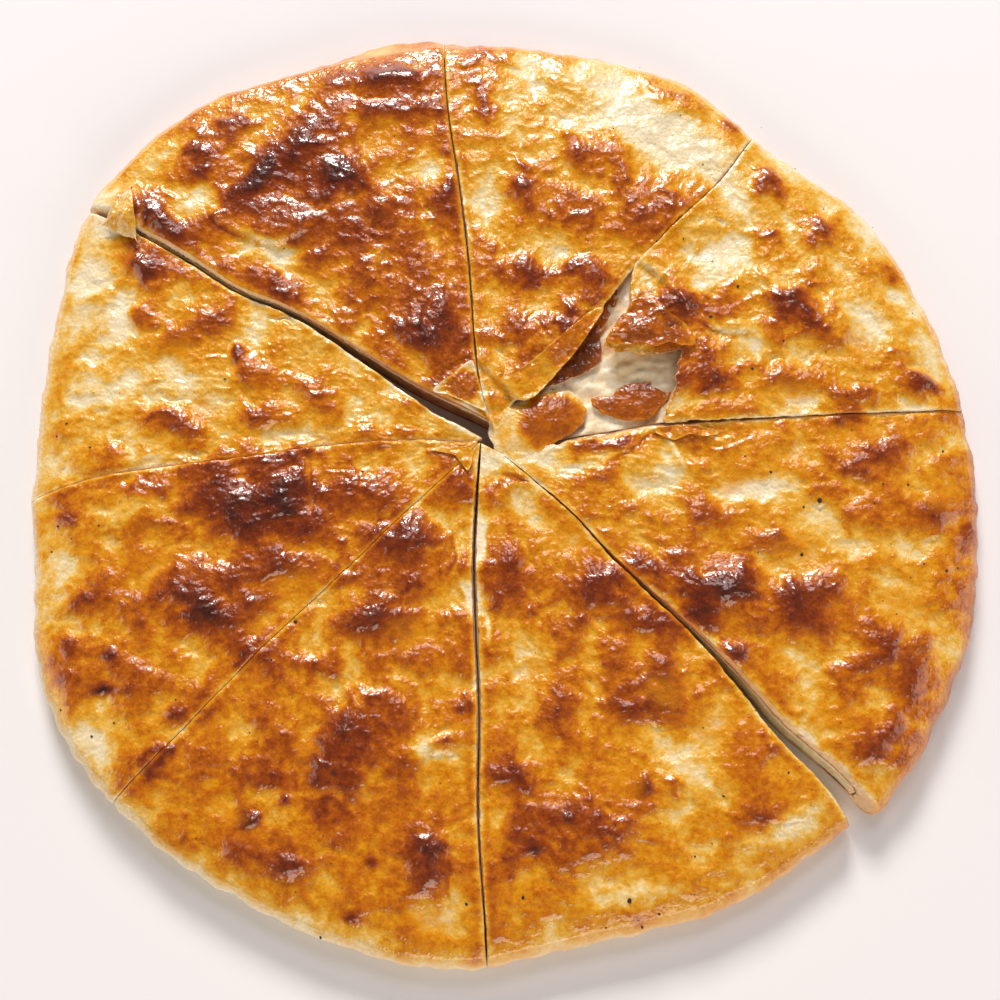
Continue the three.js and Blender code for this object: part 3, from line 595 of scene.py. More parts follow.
def crust_mesh(name, index):
    """One slice's dough: underside, rim and top sheet in one, open to the filling at the cuts."""
    lift, darker = SLICES[name]
    across = np.linspace(0, 1, ACROSS + 1)[:, None]
    torn = tear_edge(name, across)

    # Underside, from tip to rim: flat, lightly marked by the pan
    shares = np.linspace(0, 1 - RIM_ROUND[-1][0] / REACH, FLOOR_ROWS + 1)[None]
    flat = plan(index, across, shares, 0.0)
    x, y = flat[..., 0], flat[..., 1]
    dents = 0.12 * smooth(0.1, 0.9, rough(x, y, 9, 101, 2))
    floor = with_height(flat, dents * smooth(1, 0.97, shares + 0 * x))
    floor_bake = np.clip(0.4 + 0.16 * rough(x, y, 22, 103, 3) + 0.22 * bubbles(x, y, 12, 105, 0.5), 0, 1)

    # Top sheet, from the rim to its tip or torn edge
    back = np.linspace(0, 1, TOP_ROWS + 1)[None]
    shares = (1 - RIM_START / REACH) * (1 - back) + torn * back
    flat = plan(index, across, shares, 1.0, ragged=1.0)
    z, bake, butter = top_crust(flat[..., 0], flat[..., 1], lift, darker)
    edge = np.minimum(across, 1 - across) * SLICE_WIDTH * np.maximum(shares, 0.02)
    z = z - 0.22 * np.exp(-(edge / 0.5) ** 2)
    bake = np.clip(bake - 0.17 * np.exp(-(edge / 1) ** 2) + 0.05 * np.exp(-((edge - 2) / 1.5) ** 2), 0, 1)
    top = with_height(flat, z)
    top_looks = looks_of(bake, butter)

    # Rim between them
    rounding = catmull(RIM_ROUND, RIM_ROWS + 1)
    inset, part = rounding[::-1, 0][None], rounding[::-1, 1][None]
    shoulder = z[:, :1]
    angle = degrees_of(top[:, :1, :2])
    lip = LIP[2] * np.exp(-((angle - LIP[0]) / LIP[1]) ** 2) * smooth(0.55, 0.4, part)
    flat = plan(index, across, 1 - (inset - lip) / REACH, part, ragged=1.0)
    turn = np.radians(degrees_of(flat))
    wrinkle = rough(REACH * np.cos(turn), REACH * np.sin(turn) + 6 * part, 7, 111, 3)
    wrinkle = wrinkle * np.sin(math.pi * np.clip(part, 0, 1))
    flat = flat * (1 + 0.004 * wrinkle[..., None])
    rim = with_height(flat, shoulder * part)
    side = side_bake(np.degrees(turn)) + 0.1 * rough(flat[..., 0], flat[..., 1], 14, 113, 3)
    upper, lower = smooth(0.6, 1.0, part), smooth(0.3, 0.0, part)
    rim_bake = side * (1 - upper) * (1 - lower) + bake[:, :1] * upper + (side + 0.14) * lower
    rim[:, 0], rim[:, -1] = floor[:, -1], top[:, 0]
    outer = np.concatenate([floor, rim[:, 1:-1], top], 1)
    dry = 0.8 * smooth(0.97, 0.6, part) * (0.6 + 0.4 * smooth(0.5, 0.3, rim_bake))
    rim_looks = looks_of(np.clip(rim_bake, 0, 1), 0, dry)
    looks = np.concatenate([looks_of(floor_bake, 0, 0.5), rim_looks[:, 1:-1], top_looks], 1)

    # The sheet's inner side, in coarse steps: floor, end wall and roof of the filling's room
    few = across[::COARSE]
    inner_end = 1 - RIM_DOUGH / REACH
    low = plan(index, few, np.linspace(0, inner_end, FLOOR_ROWS // COARSE + 1)[None], 0.02)
    low = with_height(low, BOTTOM_SHEET)
    back = np.linspace(0, 1, TOP_ROWS // COARSE + 1)[None]
    flat = plan(index, few, inner_end * (1 - back) + torn[::COARSE] * back, 0.4, ragged=0.5)
    x, y = flat[..., 0], flat[..., 1]
    rise, thick = lifted_sheet(x, y)
    raised = patches(x, y, [row[:6] for row in BLISTERS])
    roof = level(x, y, lift) + rise + np.maximum(0, TOP_SHEET - thick) + 0.6 * raised - TOP_SHEET
    roof[:, 0] = BOTTOM_SHEET + EDGE_FILLING * (roof[:, 0] - BOTTOM_SHEET)
    high = with_height(flat, roof)
    steps = np.linspace(0, 1, RIM_ROWS // COARSE + 1)[None, :, None]
    wall = low[:, -1:] * (1 - steps) + high[:, :1] * steps
    inner = np.concatenate([low, wall[:, 1:-1], high], 1)

    skin = Skin()
    skin.add(outer, looks, turned=True)
    skin.add(inner, looks_of(0.15, 0, 1))
    for row, turned in ((0, False), (-1, True)):
        # Cut faces take their cut's tone: browned dough with painted shade of the seam
        far = np.hypot(outer[row, :, 0], outer[row, :, 1]) / REACH
        tone = even(CUTS[(index - row) % len(CUTS)]["tone"], far)
        close_edge(skin, outer[row], inner[row], looks[row], tone, turned)
    for column, turned in ((0, True), (-1, False)):
        tone = np.full(len(outer), 0.3)
        close_edge(skin, outer[:, column], inner[:, column], looks[:, column], tone, turned)
    return skin.mesh(f"khachapuri_crust_{name}")


def close_edge(skin, outer, inner, looks, tone, turned):
    """Closes the dough's outer side to its coarser inner side along a cut, tip or torn edge."""
    places = np.arange(len(outer))
    filled = np.stack([np.interp(places, np.arange(len(inner)) * COARSE, line) for line in inner.T], -1)
    layers, kinds = cut_layers(outer, filled, looks, tone)
    skin.add(layers, kinds, turned)
    skin.stitch(layers[-1], inner, looks_of(0.2, 0, 1), turned)


def cut_layers(outer, inner, looks, tone):
    """Rows of points through the thickness of the dough at a cut, from its skin to its inside."""
    depth = np.array([0, 0.12, 0.35, 0.62, 0.86])[:, None, None]
    layers = outer[None] * (1 - depth) + inner[None] * depth
    skin = np.exp(-depth[..., 0] * 9)
    # The cut's tone, partly painted seam shade, blends into the skin's own bake near the outside
    shade = tone[None] + (looks[None, :, 0] * 0.8 - tone[None]) * skin
    shade = shade + 0.06 * waves(layers[..., 0] * 3 + layers[..., 2] * 5, layers[..., 1] * 3, 4, 121)
    crumb = 1 - np.exp(-depth[..., 0] * 14) + 0 * shade
    return layers, looks_of(np.clip(shade, 0, 1), 0, crumb)


def filling_mesh(name, index):
    """One slice's baked curd: a block between the dough sheets, crumbly where it was cut."""
    lift, _ = SLICES[name]
    bare = name == "ene"
    columns = 90 if bare else 12
    across = np.linspace(0, 1, columns + 1)[:, None]
    shares = np.linspace(0, 1 - (RIM_DOUGH + CLEARANCE) / REACH, FILLING_ROWS + 1)[None]
    low = plan(index, across, shares, 0.03)
    low = with_height(low, BOTTOM_SHEET + CLEARANCE)
    flat = plan(index, across, shares, 0.35)
    x, y = flat[..., 0], flat[..., 1]
    full = level(x, y, lift) - TOP_SHEET
    end = shares + 0 * x
    thin = BOTTOM_SHEET + EDGE_FILLING * (full - BOTTOM_SHEET)
    roof = full + (thin - full) * smooth(0.86, 0.94, end) - CLEARANCE
    looks = looks_of(0.2 + 0.1 * rough(x, y, 9, 131, 2), 0, 1)
    if bare:
        under = end - tear_edge(name, across)
        shown = smooth(0.02, -0.03, under)
        strand = 0.5 - 1.8 * np.abs(waves(x / 1.5 + 0.4 * y, y - 0.3 * x, 7, 135))
        curd = CURD_HEIGHT + 1 + 1.3 * smooth(38, 55, x) + 0.7 * rough(x, y, 8, 133, 3)
        curd = curd + 0.8 * strand + 0.5 * bubbles(x, y, 3.5, 137, 0.6)
        roof = roof * (1 - shown) + np.clip(curd, 9, 13.2) * shown
        # Paler on the strands' ridges, darker in the hollows between them and towards the sheet's torn edge:
        # painted shade in the hollows and under the torn edge
        tone = 0.12 - 0.12 * strand + 0.12 * rough(x, y, 6, 139, 3) + 0.2 * smooth(-0.03, 0.04, under)
        moist = 0.25 * shown * smooth(0.1, 0.5, rough(x, y, 11, 141, 2))
        looks = looks_of(np.clip(tone, 0, 1), moist, 1)
    high = with_height(flat, roof)
    skin = Skin()
    skin.add(high, looks, turned=True)
    skin.add(low, looks)
    depth = np.linspace(0, 1, FILLING_THICK + 1)[:, None, None]
    for row, cut, side in ((0, CUTS[index], 1), (-1, CUTS[(index + 1) % len(CUTS)], -1)):
        face = low[row][None] * (1 - depth) + high[row][None] * depth
        run = np.gradient(face[0, :, :2], axis=0)
        run /= np.linalg.norm(run, axis=1)[:, None] + 1e-9
        inward = np.stack([-run[:, 1], run[:, 0]], 1) * side
        a, b = np.cumsum(np.linalg.norm(np.gradient(face[0, :, :2], axis=0), axis=1))[None], face[..., 2]
        torn = 0.35 + 0.5 * rough(a + 40 * index, b, 4, 143 + side, 3)
        torn = torn + 0.5 * bubbles(a + 0 * b, b, 3, 147 + side, 0.5)
        pit = np.clip(torn, 0, 1.1) * np.sin(math.pi * depth[..., 0]) * np.minimum(shares / 0.05, 1)
        pit = pit * np.minimum((shares[0, -1] - shares) / 0.02, 1)
        face[..., :2] += inward[None] * pit[..., None]
        # The curd's cut faces take the cut's tone too: painted shade of the seam
        tone = even(cut["tone"], np.hypot(face[..., 0], face[..., 1]) / REACH) - 0.12
        tone = tone + 0.16 * rough(a + 90 * index, b, 5, 151 + side, 3) - 0.04 * torn
        skin.add(face, looks_of(np.clip(tone, 0.02, 1), 0, 1), turned=row == 0)
    for column, turned in ((0, False), (-1, True)):
        end_wall = low[None, :, column] * (1 - depth) + high[None, :, column] * depth
        skin.add(end_wall, looks_of(0.2, 0, 1), turned)
    return skin.mesh(f"khachapuri_filling_{name}")


# Broken flakes of top crust: outline, height of the middle, dome, slopes along x and y, thickness,
# bake of the middle and the edge, where the brown is, how far it reaches, and how lumpy the skin is
FLAKES = {
    "flake_round": dict(outline=[(-5, 24), (-1, 23), (4, 24), (8, 26), (13, 28), (18, 28), (23, 26),
            (25.5, 22), (25, 18), (21, 14), (15, 10.5), (9, 7), (3, 5.5), (-1, 6.5), (-4, 9), (-5.5, 15)],
        height=15.6, dome=2.2, slope=(-0.02, -0.05), thick=1.1, tones=(0.6, 0.2), brown_at=(15.5, 17),
        brown=12.5, lumps=0.3, rimmed=0.15),
    "flake_red": dict(outline=[(27, 25), (30, 26), (33, 25.5), (35, 28), (39, 30), (45, 30.5), (52, 30.5),
            (52, 26), (49, 22), (45, 18.5), (38, 18), (33, 19.5), (29, 21.5)], height=13.2, dome=0.8,
        slope=(0.02, -0.08), thick=0.9, tones=(0.64, 0.54), brown_at=(38, 22), brown=15, lumps=0.35,
        rimmed=0.15),
    "flake_dark": dict(outline=[(8, 27), (14, 29), (20, 31.5), (27, 34.5), (30.5, 39.5), (30, 45),
            (32, 50), (36, 58), (37.5, 65), (32, 59), (25, 50), (18, 42), (11, 34)], height=12.8,
        dome=0.6, slope=(0.06, -0.08), thick=0.8, tones=(0.8, 0.58), brown_at=(19, 36), brown=19,
        lumps=1.3, rimmed=0.1),
}

# Loose skins of the top crust lying over their own slice, each with its edge standing off
SKINS = {
    "skin_nnw": dict(over="nnw",
        outline=[(-23, 26.5), (-17, 31.5), (-11, 36), (-9, 31), (-7.3, 24), (-6.2, 20), (-12, 22.3),
            (-18, 25)], height=0.9, dome=-0.5, thick=0.6, tones=(0.58, 0.2), brown_at=(-13.5, 28),
        brown=6.5, lumps=0.5, rimmed=0.22),
    "skin_nne": dict(over="nne",
        outline=[(5, 23.5), (9, 25), (12, 28), (17, 33.5), (22.5, 40), (28, 48), (31, 54), (27, 52.5),
            (20, 46.5), (12, 39.5), (5, 34), (-1, 30.5), (1, 26)], height=1.1, dome=-0.3, thick=0.7,
        tones=(0.5, 0.36), brown_at=(20, 44), brown=12, lumps=0.8, rimmed=0.12),
    "skin_corner": dict(over="nnw",
        outline=[(-129.5, 82), (-129.5, 82), (-124, 78.5), (-118.5, 76.5), (-118.5, 76.5), (-119, 86),
            (-121, 94.5), (-121, 94.5), (-126, 88)], height=0.7, peak=2.2, dome=0, thick=0.8,
        tones=(0.3, 0.22), brown_at=(-119, 84), brown=4, lumps=0.3, rimmed=0.06),
    "skin_ene": dict(over="ene",
        outline=[(31.5, 41.8), (34, 46), (37, 49), (40.5, 56), (46, 56.5), (51, 52), (57, 48), (60, 42),
            (56, 40.6), (52, 41.6), (47, 40.4), (42, 41.5), (37, 41)], height=0.8, dome=-0.5, thick=0.6,
        tones=(0.66, 0.54), brown_at=(46, 48), brown=11, lumps=1.4, rimmed=0.12),
    "skin_wsw": dict(over="wsw",
        outline=[(-25, 8.3), (-16, 8.6), (-11.5, 8.6), (-10.6, 5), (-12, 1), (-14, 4.5), (-17, 6.4)],
        height=0.7, dome=-0.2, thick=0.5, tones=(0.36, 0.3), brown_at=(-13, 6), brown=7, lumps=0.4,
        rimmed=0.12),
    "skin_ese": dict(over="ese",
        outline=[(46, 14.6), (51, 15.6), (57, 15.8), (62, 15.4), (67, 13.6), (63, 12.2), (58, 12.8),
            (53, 11.2), (49, 12.4)], height=0.7, dome=-0.2, thick=0.5, tones=(0.45, 0.4),
        brown_at=(52, 14), brown=9, lumps=0.4, rimmed=0.15),
}


def flake_mesh(name, form):
    """A broken flake: a thin domed sheet with a ragged outline, closed round its edge."""
    ring = np.linspace(0, 1, FLAKE_RINGS + 1)[:, None]
    outline = catmull(form["outline"], FLAKE_SEGMENTS + 1, closed=True)
    outline[-1] = outline[0]
    middle = outline[:-1].mean(0)
    away = outline - middle
    ragged = 1 + 0.035 * waves(*outline.T, 3, 161) + 0.02 * waves(*outline.T, 1.3, 163)
    lx, ly = ring * away[:, 0] * ragged, ring * away[:, 1] * ragged
    x, y = middle[0] + lx, middle[1] + ly
    fold = 0.5 - 2 * np.abs(waves(x / 1.3, y, 5, 165))
    bumps = form["lumps"] * (0.35 * fold + 0.2 * bubbles(x, y, 2.2, 167, 0.6))
    if "over" in form:
        ground, _, _ = top_crust(x, y, *SLICES[form["over"]])
        z = ground + form["height"] + bumps - form["dome"] * ring ** 4 + form.get("peak", 0) * (1 - ring)
    else:
        z = form["height"] + form["slope"][0] * lx + form["slope"][1] * ly - form["dome"] * ring ** 2
        z = z + bumps + 0.3 * rough(x, y, 7, 166, 2)
    bx, by = x - form["brown_at"][0], y - form["brown_at"][1]
    deep, light = form["tones"]
    far = np.hypot(bx, by * 1.25) / form["brown"] + 0.12 * waves(x, y, 4, 168)
    tone = light + (deep - light) * smooth(1.15, 0.7, far) + 0.08 * rough(x, y, 5, 169, 2)
    tone = tone + 0.05 * fold * form["lumps"] - form["rimmed"] * smooth(0.8, 1, ring)
    thick = form["thick"] * (1 - 0.5 * ring ** 4)
    upper, lower = np.stack([x, y, z], -1), np.stack([x, y, z - thick], -1)
    skin = Skin()
    skin.add(upper, looks_of(np.clip(tone, 0, 1), 0.2))
    skin.add(lower, looks_of(0.4), turned=True)
    skin.add(np.stack([lower[-1], upper[-1]]), looks_of(np.clip(tone[-1:] - 0.1, 0, 1)), turned=True)
    return skin.mesh(f"khachapuri_{name}")


# ------------------------------------------------------------------ materials

def colour(text):
    """An sRGB hex colour as linear red, green, blue and alpha."""
    parts = [int(text[i:i + 2], 16) / 255 for i in (1, 3, 5)]
    return [p / 12.92 if p <= 0.04045 else ((p + 0.055) / 1.055) ** 2.4 for p in parts] + [1]


def feed(tree, socket, value):
    """Links an input to another node's socket, or gives it a plain value."""
    if isinstance(value, bpy.types.NodeSocket):
        tree.links.new(value, socket)
    else:
        socket.default_value = value


def node(tree, kind, settings=None, **links):
    """Adds a node with its settings and input values, and links the inputs that are sockets."""
    made = tree.nodes.new(kind)
    for key, value in (settings or {}).items():
        setattr(made, key, value)
    for key, value in links.items():
        numbered = key[0] == "_" and key[1:].isdigit()
        feed(tree, made.inputs[int(key[1:])] if numbered else made.inputs[key.replace("_", " ")], value)
    return made


def ramp(tree, factor, stops):
    """A colour ramp through (place, hex colour) stops."""
    made = node(tree, "ShaderNodeValToRGB", Fac=factor)
    elements = made.color_ramp.elements
    elements.remove(elements[1])
    elements[0].position, elements[0].color = stops[0][0], colour(stops[0][1])
    for place, text in stops[1:]:
        elements.new(place).color = colour(text)
    return made.outputs["Color"]


def mix(tree, factor, a, b, blend="MIX"):
    kind = {"data_type": "RGBA", "blend_type": blend}
    return node(tree, "ShaderNodeMix", kind, _0=factor, _6=a, _7=b).outputs[2]


def math_node(tree, operation, *values):
    made = node(tree, "ShaderNodeMath", {"operation": operation})
    for socket, value in zip(made.inputs, values):
        feed(tree, socket, value)
    return made.outputs[0]


def bump(tree, strength, depth_mm, height, normal=None, invert=False):
    """Relief of a depth in millimetres, on top of another relief where one is given."""
    made = node(tree, "ShaderNodeBump", {"invert": invert}, Strength=strength, Distance=depth_mm * MM,
                Height=height)
    if normal is not None:
        tree.links.new(normal, made.inputs["Normal"])
    return made.outputs[0]


def set_shader(tree, shader, **values):
    """Feeds the shader's own inputs, named with _ for each space."""
    for name, value in values.items():
        feed(tree, shader.inputs[name.replace("_", " ")], value)


def begin(name):
    """A new material with its shader, output and object coordinates."""
    material = bpy.data.materials.new(name)
    material.use_nodes = True
    tree = material.node_tree
    tree.nodes.clear()
    shader = node(tree, "ShaderNodeBsdfPrincipled")
    node(tree, "ShaderNodeOutputMaterial", Surface=shader.outputs[0])
    place = node(tree, "ShaderNodeTexCoord").outputs["Object"]
    return material, tree, shader, place


def grain(tree, place, size_mm, detail=3.0, rough_part=0.5):
    """Noise whose lumps are a real size in millimetres, as a value of 0 to 1."""
    return node(tree, "ShaderNodeTexNoise", Vector=place, Scale=1 / (size_mm * MM), Detail=detail,
                Roughness=rough_part).outputs["Fac"]


def attribute(tree, name):
    return node(tree, "ShaderNodeAttribute", {"attribute_name": name}).outputs["Fac"]


def spread(tree, place, size_mm, detail, rough_part, low, high):
    """Noise stretched so that its usual values fill a range, for uneven gloss."""
    value = grain(tree, place, size_mm, detail, rough_part)
    return node(tree, "ShaderNodeMapRange", Value=value, _1=0.3, _2=0.7, _3=low, _4=high).outputs[0]


CRUST_TONES = [
    (0.0, "#F8EECC"), (0.12, "#F3DDA0"), (0.24, "#ECBA48"), (0.36, "#DF980E"), (0.48, "#C77002"),
    (0.6, "#A24C02"), (0.72, "#7D3002"), (0.86, "#521D08"), (1.0, "#2A1310"),
]


def crust_material():
    """Baked wheat dough brushed with butter: a thin, glossy, uneven fat film over browned skin."""
    material, tree, shader, place = begin("butter-glazed baked dough")
    bake, butter, crumb = (attribute(tree, name) for name in ("bake", "butter", "crumb"))
    mottle = math_node(tree, "SUBTRACT", grain(tree, place, 2.1, 5, 0.62), 0.5)
    speckle = math_node(tree, "SUBTRACT", grain(tree, place, 0.6, 2, 0.5), 0.5)
    shifted = math_node(tree, "MULTIPLY_ADD", mottle, 0.34, bake)
    shifted = math_node(tree, "MULTIPLY_ADD", speckle, 0.14, shifted)
    skin = ramp(tree, shifted, CRUST_TONES)
    skin = mix(tree, math_node(tree, "MULTIPLY", butter, 0.55), skin, colour("#DE9012"))
    inside = ramp(tree, math_node(tree, "MULTIPLY_ADD", mottle, 0.4, bake),
                  [(0.0, "#F4E4C0"), (0.3, "#ECBE8C"), (0.5, "#CC8754"), (0.75, "#7C3A1E"), (1.0, "#461A0E")])
    shine = math_node(tree, "MULTIPLY_ADD", butter, -0.1, spread(tree, place, 4, 3, 0.6, 0.2, 0.4))
    shine = math_node(tree, "MULTIPLY_ADD", crumb, 0.35, shine)
    shine = math_node(tree, "MULTIPLY_ADD", math_node(tree, "SUBTRACT", bake, 0.45), 0.2, shine)
    # Wrinkles and pinhead bubbles of the fat-fried skin; the film of butter softens them
    cells = node(tree, "ShaderNodeTexVoronoi", {"feature": "SMOOTH_F1"}, Vector=place, Scale=1 / (1.2 * MM),
                 Smoothness=0.7).outputs["Distance"]
    wrinkled = bump(tree, 0.6, 0.5, grain(tree, place, 2.4, 2, 0.55))
    fine = bump(tree, 0.5, 0.3, grain(tree, place, 0.7, 3, 0.6), wrinkled)
    set_shader(
        tree, shader, Base_Color=mix(tree, crumb, skin, inside), Roughness=shine,
        Normal=bump(tree, 0.6, 0.42, cells, fine, invert=True),
        Coat_Normal=bump(tree, 0.5, 0.2, cells, wrinkled, invert=True),
        IOR=1.33, Coat_Weight=math_node(tree, "MULTIPLY_ADD", crumb, -0.9, 0.9), Coat_Roughness=0.14,
        Subsurface_Weight=0.05, Subsurface_Radius=(1, 0.5, 0.2), Subsurface_Scale=1.2 * MM)
    return material


def curd_material():
    """Baked imeruli curd: cream, moist, crumbly, with soft light inside it."""
    material, tree, shader, place = begin("baked curd cheese")
    bake, butter = attribute(tree, "bake"), attribute(tree, "butter")
    mottle = math_node(tree, "SUBTRACT", grain(tree, place, 1.6, 4, 0.6), 0.5)
    tone = ramp(tree, math_node(tree, "MULTIPLY_ADD", mottle, 0.55, bake),
                [(0.0, "#FFF7DC"), (0.2, "#F1DFB6"), (0.4, "#E0AC7C"), (0.7, "#8E4E2C"), (1.0, "#451C10")])
    tone = mix(tree, butter, tone, colour("#F0D68C"), "MULTIPLY")
    set_shader(
        tree, shader, Base_Color=tone, Roughness=spread(tree, place, 3, 2, 0.5, 0.34, 0.62),
        Normal=bump(tree, 0.5, 0.4, grain(tree, place, 0.9, 4, 0.65)), IOR=1.45,
        Subsurface_Weight=0.2, Subsurface_Radius=(1, 0.7, 0.4), Subsurface_Scale=2 * MM)
    return material


def char_material():
    """Burnt flour and herb: tiny matt black-brown specks."""
    material, tree, shader, place = begin("charred speck")
    tone = ramp(tree, grain(tree, place, 0.4, 2), [(0.3, "#14100E"), (0.7, "#3A2418")])
    set_shader(tree, shader, Base_Color=tone, Roughness=0.55)
    return material


# ------------------------------------------------------------------ small loose things

# Larger black specks, one by one: x, y, radius in mm
SPECKS = [
    (138, 8, 0.5), (98, -8, 0.9), (93, -10, 0.5), (83, 1, 0.5), (75, 6, 0.4), (126, -3, 0.5),
    (118, -3, 0.4), (92, -25, 0.6), (137, -30, 0.5), (141, -29, 0.4), (130, -28, 0.4), (115, -9, 0.4),
    (120, -52, 0.4), (37, -130, 0.9), (41, -138, 0.5), (46, -134, 0.5), (30, -138, 0.4), (86, -92, 0.5),
    (66, -99, 0.5), (57, -117, 0.4), (-12, -131, 0.6), (5, -129, 0.6), (-56, -141, 0.5), (-52, -92, 0.6),
    (-65, -46, 0.6), (-72, -58, 0.5), (-45, 1, 0.5), (-137, -73, 0.4), (-127, -81, 0.5), (-120, -77, 0.4),
    (-101, -70, 0.4), (74, 61, 0.6), (65, 51, 0.7), (88, 43, 0.5), (78, 34, 0.5), (57, 77, 0.4),
    (-139, 17, 0.5), (-142, 13, 0.4), (-131, 9, 0.5), (-127, -16, 0.4), (-140, -16, 0.5),
    (-142, -24, 0.4), (-89, 31, 0.5),
]


def slice_at(x, y):
    """The index of the slice that a place lies in."""
    angle = math.degrees(math.atan2(y - 11, x + 5)) % 360
    ends = []
    for cut in CUTS:
        ends.append(math.degrees(math.atan2(cut["line"][-1, 1] - 11, cut["line"][-1, 0] + 5)) % 360)
    for index in range(len(CUTS)):
        if ends[index] <= angle < ends[(index + 1) % len(CUTS)]:
            return index
    return len(CUTS) - 1


def scatter_tree():
    """Geometry Nodes that put a small uneven grain on each point, sized by the point's own radius."""
    tree = bpy.data.node_groups.new("grains on points", "GeometryNodeTree")
    inputs = {"Geometry": "Geometry", "Flatness": "Float", "Seed": "Int", "Material": "Material"}
    for name, kind in inputs.items():
        tree.interface.new_socket(name, in_out="INPUT", socket_type="NodeSocket" + kind)
    tree.interface.new_socket("Geometry", in_out="OUTPUT", socket_type="NodeSocketGeometry")
    given = tree.nodes.new("NodeGroupInput")
    made = tree.nodes.new("NodeGroupOutput")
    ball = node(tree, "GeometryNodeMeshIcoSphere", Radius=1.0, Subdivisions=2)
    lumpy = node(tree, "ShaderNodeTexNoise", Scale=1.3)
    outward = node(tree, "GeometryNodeInputNormal").outputs[0]
    push = node(tree, "ShaderNodeVectorMath", {"operation": "SCALE"}, _0=outward,
                Scale=math_node(tree, "MULTIPLY_ADD", lumpy.outputs["Fac"], 0.9, -0.45))
    grain_shape = node(tree, "GeometryNodeSetPosition", Geometry=ball.outputs["Mesh"], Offset=push.outputs[0])
    named = node(tree, "GeometryNodeInputNamedAttribute", {"data_type": "FLOAT"}, Name="size")
    size = named.outputs["Attribute"]
    flat = math_node(tree, "MULTIPLY", size, given.outputs["Flatness"])
    scale = node(tree, "ShaderNodeCombineXYZ", X=size, Y=math_node(tree, "MULTIPLY", size, 0.8), Z=flat)
    turn = node(tree, "FunctionNodeRandomValue", {"data_type": "FLOAT_VECTOR"}, _0=(0, 0, 0),
                _1=(0.5, 0.5, 6.283), Seed=given.outputs["Seed"])
    strewn = node(tree, "GeometryNodeInstanceOnPoints", Points=given.outputs["Geometry"],
                  Instance=grain_shape.outputs[0], Scale=scale.outputs[0])
    tree.links.new(turn.outputs[0], strewn.inputs["Rotation"])
    real = node(tree, "GeometryNodeRealizeInstances", Geometry=strewn.outputs[0])
    painted = node(tree, "GeometryNodeSetMaterial", Geometry=real.outputs[0],
                   Material=given.outputs["Material"])
    tree.links.new(painted.outputs[0], made.inputs[0])
    return tree


def scattered(name, tree, points, sizes, flatness, seed, material):
    """A plain mesh of grains on the given points, in mm."""
    mesh = bpy.data.meshes.new(name)
    mesh.from_pydata([tuple(p * MM for p in point) for point in points], [], [])
    mesh.attributes.new("size", "FLOAT", "POINT").data.foreach_set("value", [s * MM for s in sizes])
    holder = bpy.data.objects.new(name + "_points", mesh)
    bpy.context.scene.collection.objects.link(holder)
    modifier = holder.modifiers.new("grains", "NODES")
    modifier.node_group = tree
    named = {item.name: item.identifier for item in tree.interface.items_tree if item.in_out == "INPUT"}
    modifier[named["Flatness"]] = flatness
    modifier[named["Seed"]] = seed
    modifier[named["Material"]] = material
    evaluated = holder.evaluated_get(bpy.context.evaluated_depsgraph_get())
    made = bpy.data.meshes.new_from_object(evaluated)
    made.name = name
    holder.modifiers.clear()
    bpy.data.objects.remove(holder)
    piece = bpy.data.objects.new(name, made)
    bpy.context.scene.collection.objects.link(piece)
    return piece


def top_points(places):
    """Points on the top crust at the given places."""
    names = list(SLICES)
    points = []
    for x, y in places:
        name = names[slice_at(x, y)]
        z, _, _ = top_crust(np.array([x], float), np.array([y], float), *SLICES[name])
        points.append((x, y, float(z[0])))
    return points


# ------------------------------------------------------------------ the pieces

def add_piece(mesh, material, slot, *nodes):
    piece = bpy.data.objects.new(mesh.name, mesh)
    bpy.context.scene.collection.objects.link(piece)
    mesh.materials.append(material)
    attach(piece, "root")
    if nodes:
        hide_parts(*nodes)


crust, curd = crust_material(), curd_material()
for index, name in enumerate(SLICES):
    add_piece(crust_mesh(name, index), crust, "crust", f"crust_{name}")
    add_piece(filling_mesh(name, index), curd, "curd", f"filling_{name}")
for name, form in FLAKES.items():
    add_piece(flake_mesh(name, form), crust, "flake", name)
for name, form in SKINS.items():
    add_piece(flake_mesh(name, form), crust, "crust")

# Specks strewn over the top, none of the small ones on the bare curd
LOOSE_SPECKS = 260
SPECK_REACH = 146
random = np.random.default_rng(7)
angles = random.uniform(0, 2 * math.pi, LOOSE_SPECKS)
radii = SPECK_REACH * np.sqrt(random.uniform(0.02, 1, LOOSE_SPECKS))
loose = [(r * math.cos(a), r * math.sin(a)) for a, r in zip(angles, radii)]
loose = [(x, y) for x, y in loose if not (-6 < x < 62 and 6 < y < 66)]
speck_points = top_points([s[:2] for s in SPECKS] + loose)
speck_sizes = [s[2] for s in SPECKS] + list(random.uniform(0.14, 0.3, len(loose)))
specks = scattered("khachapuri_specks", scatter_tree(), speck_points, speck_sizes, 0.45, 3, char_material())
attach(specks, "root")

# ------------------------------------------------------------------ floor, light and camera

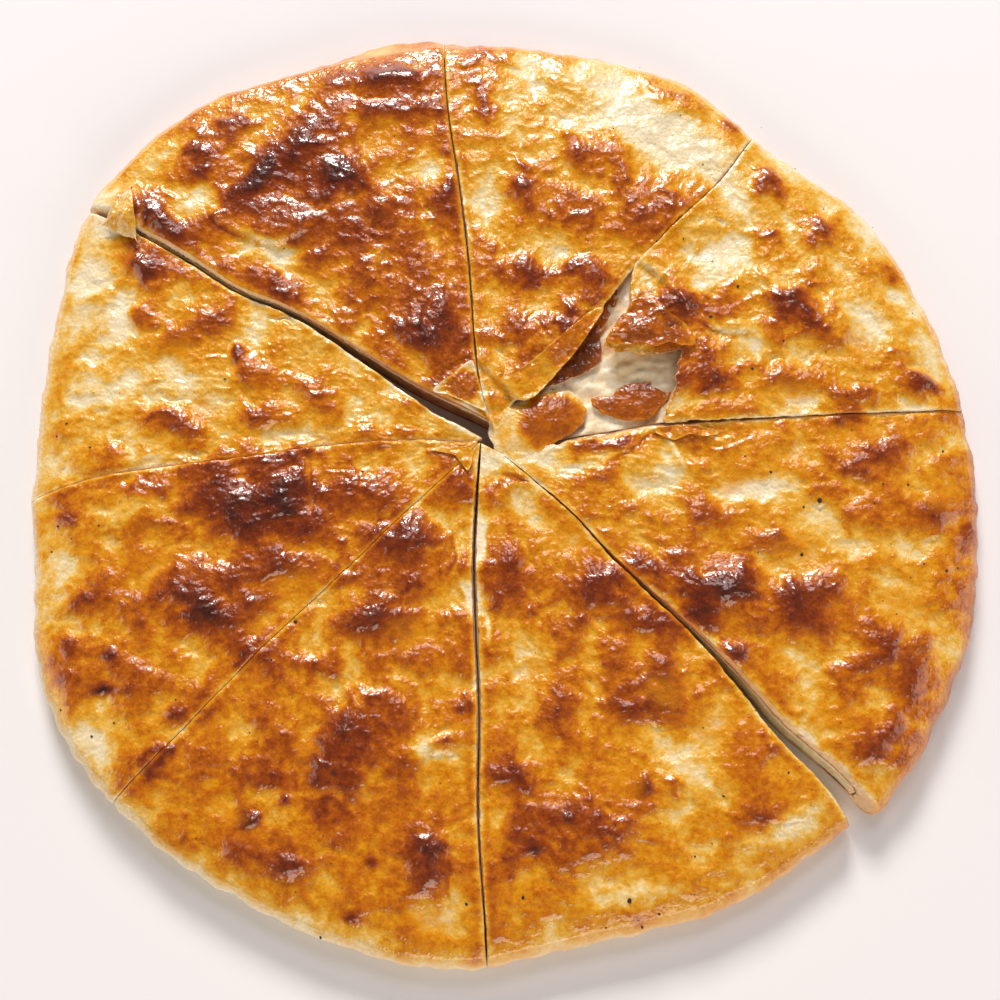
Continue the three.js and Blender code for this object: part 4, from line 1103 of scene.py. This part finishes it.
HALF_FLOOR = 2.0
corners = [(-HALF_FLOOR, -HALF_FLOOR, 0), (HALF_FLOOR, -HALF_FLOOR, 0), (HALF_FLOOR, HALF_FLOOR, 0),
           (-HALF_FLOOR, HALF_FLOOR, 0)]
floor_mesh = bpy.data.meshes.new("floor")
floor_mesh.from_pydata(corners, [], [(0, 1, 2, 3)])
floor = bpy.data.objects.new("floor", floor_mesh)
floor.location.z = -0.0002
bpy.context.scene.collection.objects.link(floor)
floor_material, floor_tree, floor_shader, _ = begin("pale floor")
set_shader(floor_tree, floor_shader, Base_Color=colour("#F2F6FA"), Roughness=0.7)
floor_mesh.materials.append(floor_material)


def area_light(name, place, size, power, tint):
    """A rectangular light that faces the bread."""
    light = bpy.data.lights.new(name, "AREA")
    light.shape = "RECTANGLE"
    light.size, light.size_y = size
    light.energy = power
    light.color = colour(tint)[:3]
    made = bpy.data.objects.new(name, light)
    made.location = place
    made.rotation_euler = (-Vector(place)).to_track_quat("-Z", "Y").to_euler()
    bpy.context.scene.collection.objects.link(made)


area_light("window", (-0.35, 3.2, 1.75), (1.15, 0.75), 146, "#FFF4EE")
area_light("top of the window", (0.15, 1.9, 2.4), (1.2, 0.8), 17, "#FFF1F6")
area_light("room", (0.5, -2.3, 0.95), (2.2, 1.2), 37, "#FFECDA")
area_light("left wall", (-1.9, -0.4, 0.7), (1.2, 1.2), 9, "#FFF2E6")
area_light("right wall", (1.9, -0.3, 0.7), (1.2, 1.2), 9, "#FFF2E6")

world = bpy.data.worlds.new("studio")
world.use_nodes = True
world.node_tree.nodes["Background"].inputs["Color"].default_value = colour("#F4EFF2")
world.node_tree.nodes["Background"].inputs["Strength"].default_value = 0.12
bpy.context.scene.world = world
bpy.context.scene.view_settings.view_transform = "Standard"

CAMERA_ANGLE = math.radians(80)
CAMERA_AWAY = 0.52
CAMERA_SPAN = 0.318
aim = Vector((-0.0019, -0.0064, 0.006))
camera_data = bpy.data.cameras.new("camera")
camera_data.sensor_width = 36
camera_data.lens = 36 * CAMERA_AWAY / CAMERA_SPAN
camera_data.dof.use_dof = False
camera = bpy.data.objects.new("camera", camera_data)
camera.location = aim + CAMERA_AWAY * Vector((0, -math.cos(CAMERA_ANGLE), math.sin(CAMERA_ANGLE)))
camera.rotation_euler = (math.pi / 2 - CAMERA_ANGLE, 0, 0)
bpy.context.scene.collection.objects.link(camera)
bpy.context.scene.camera = camera
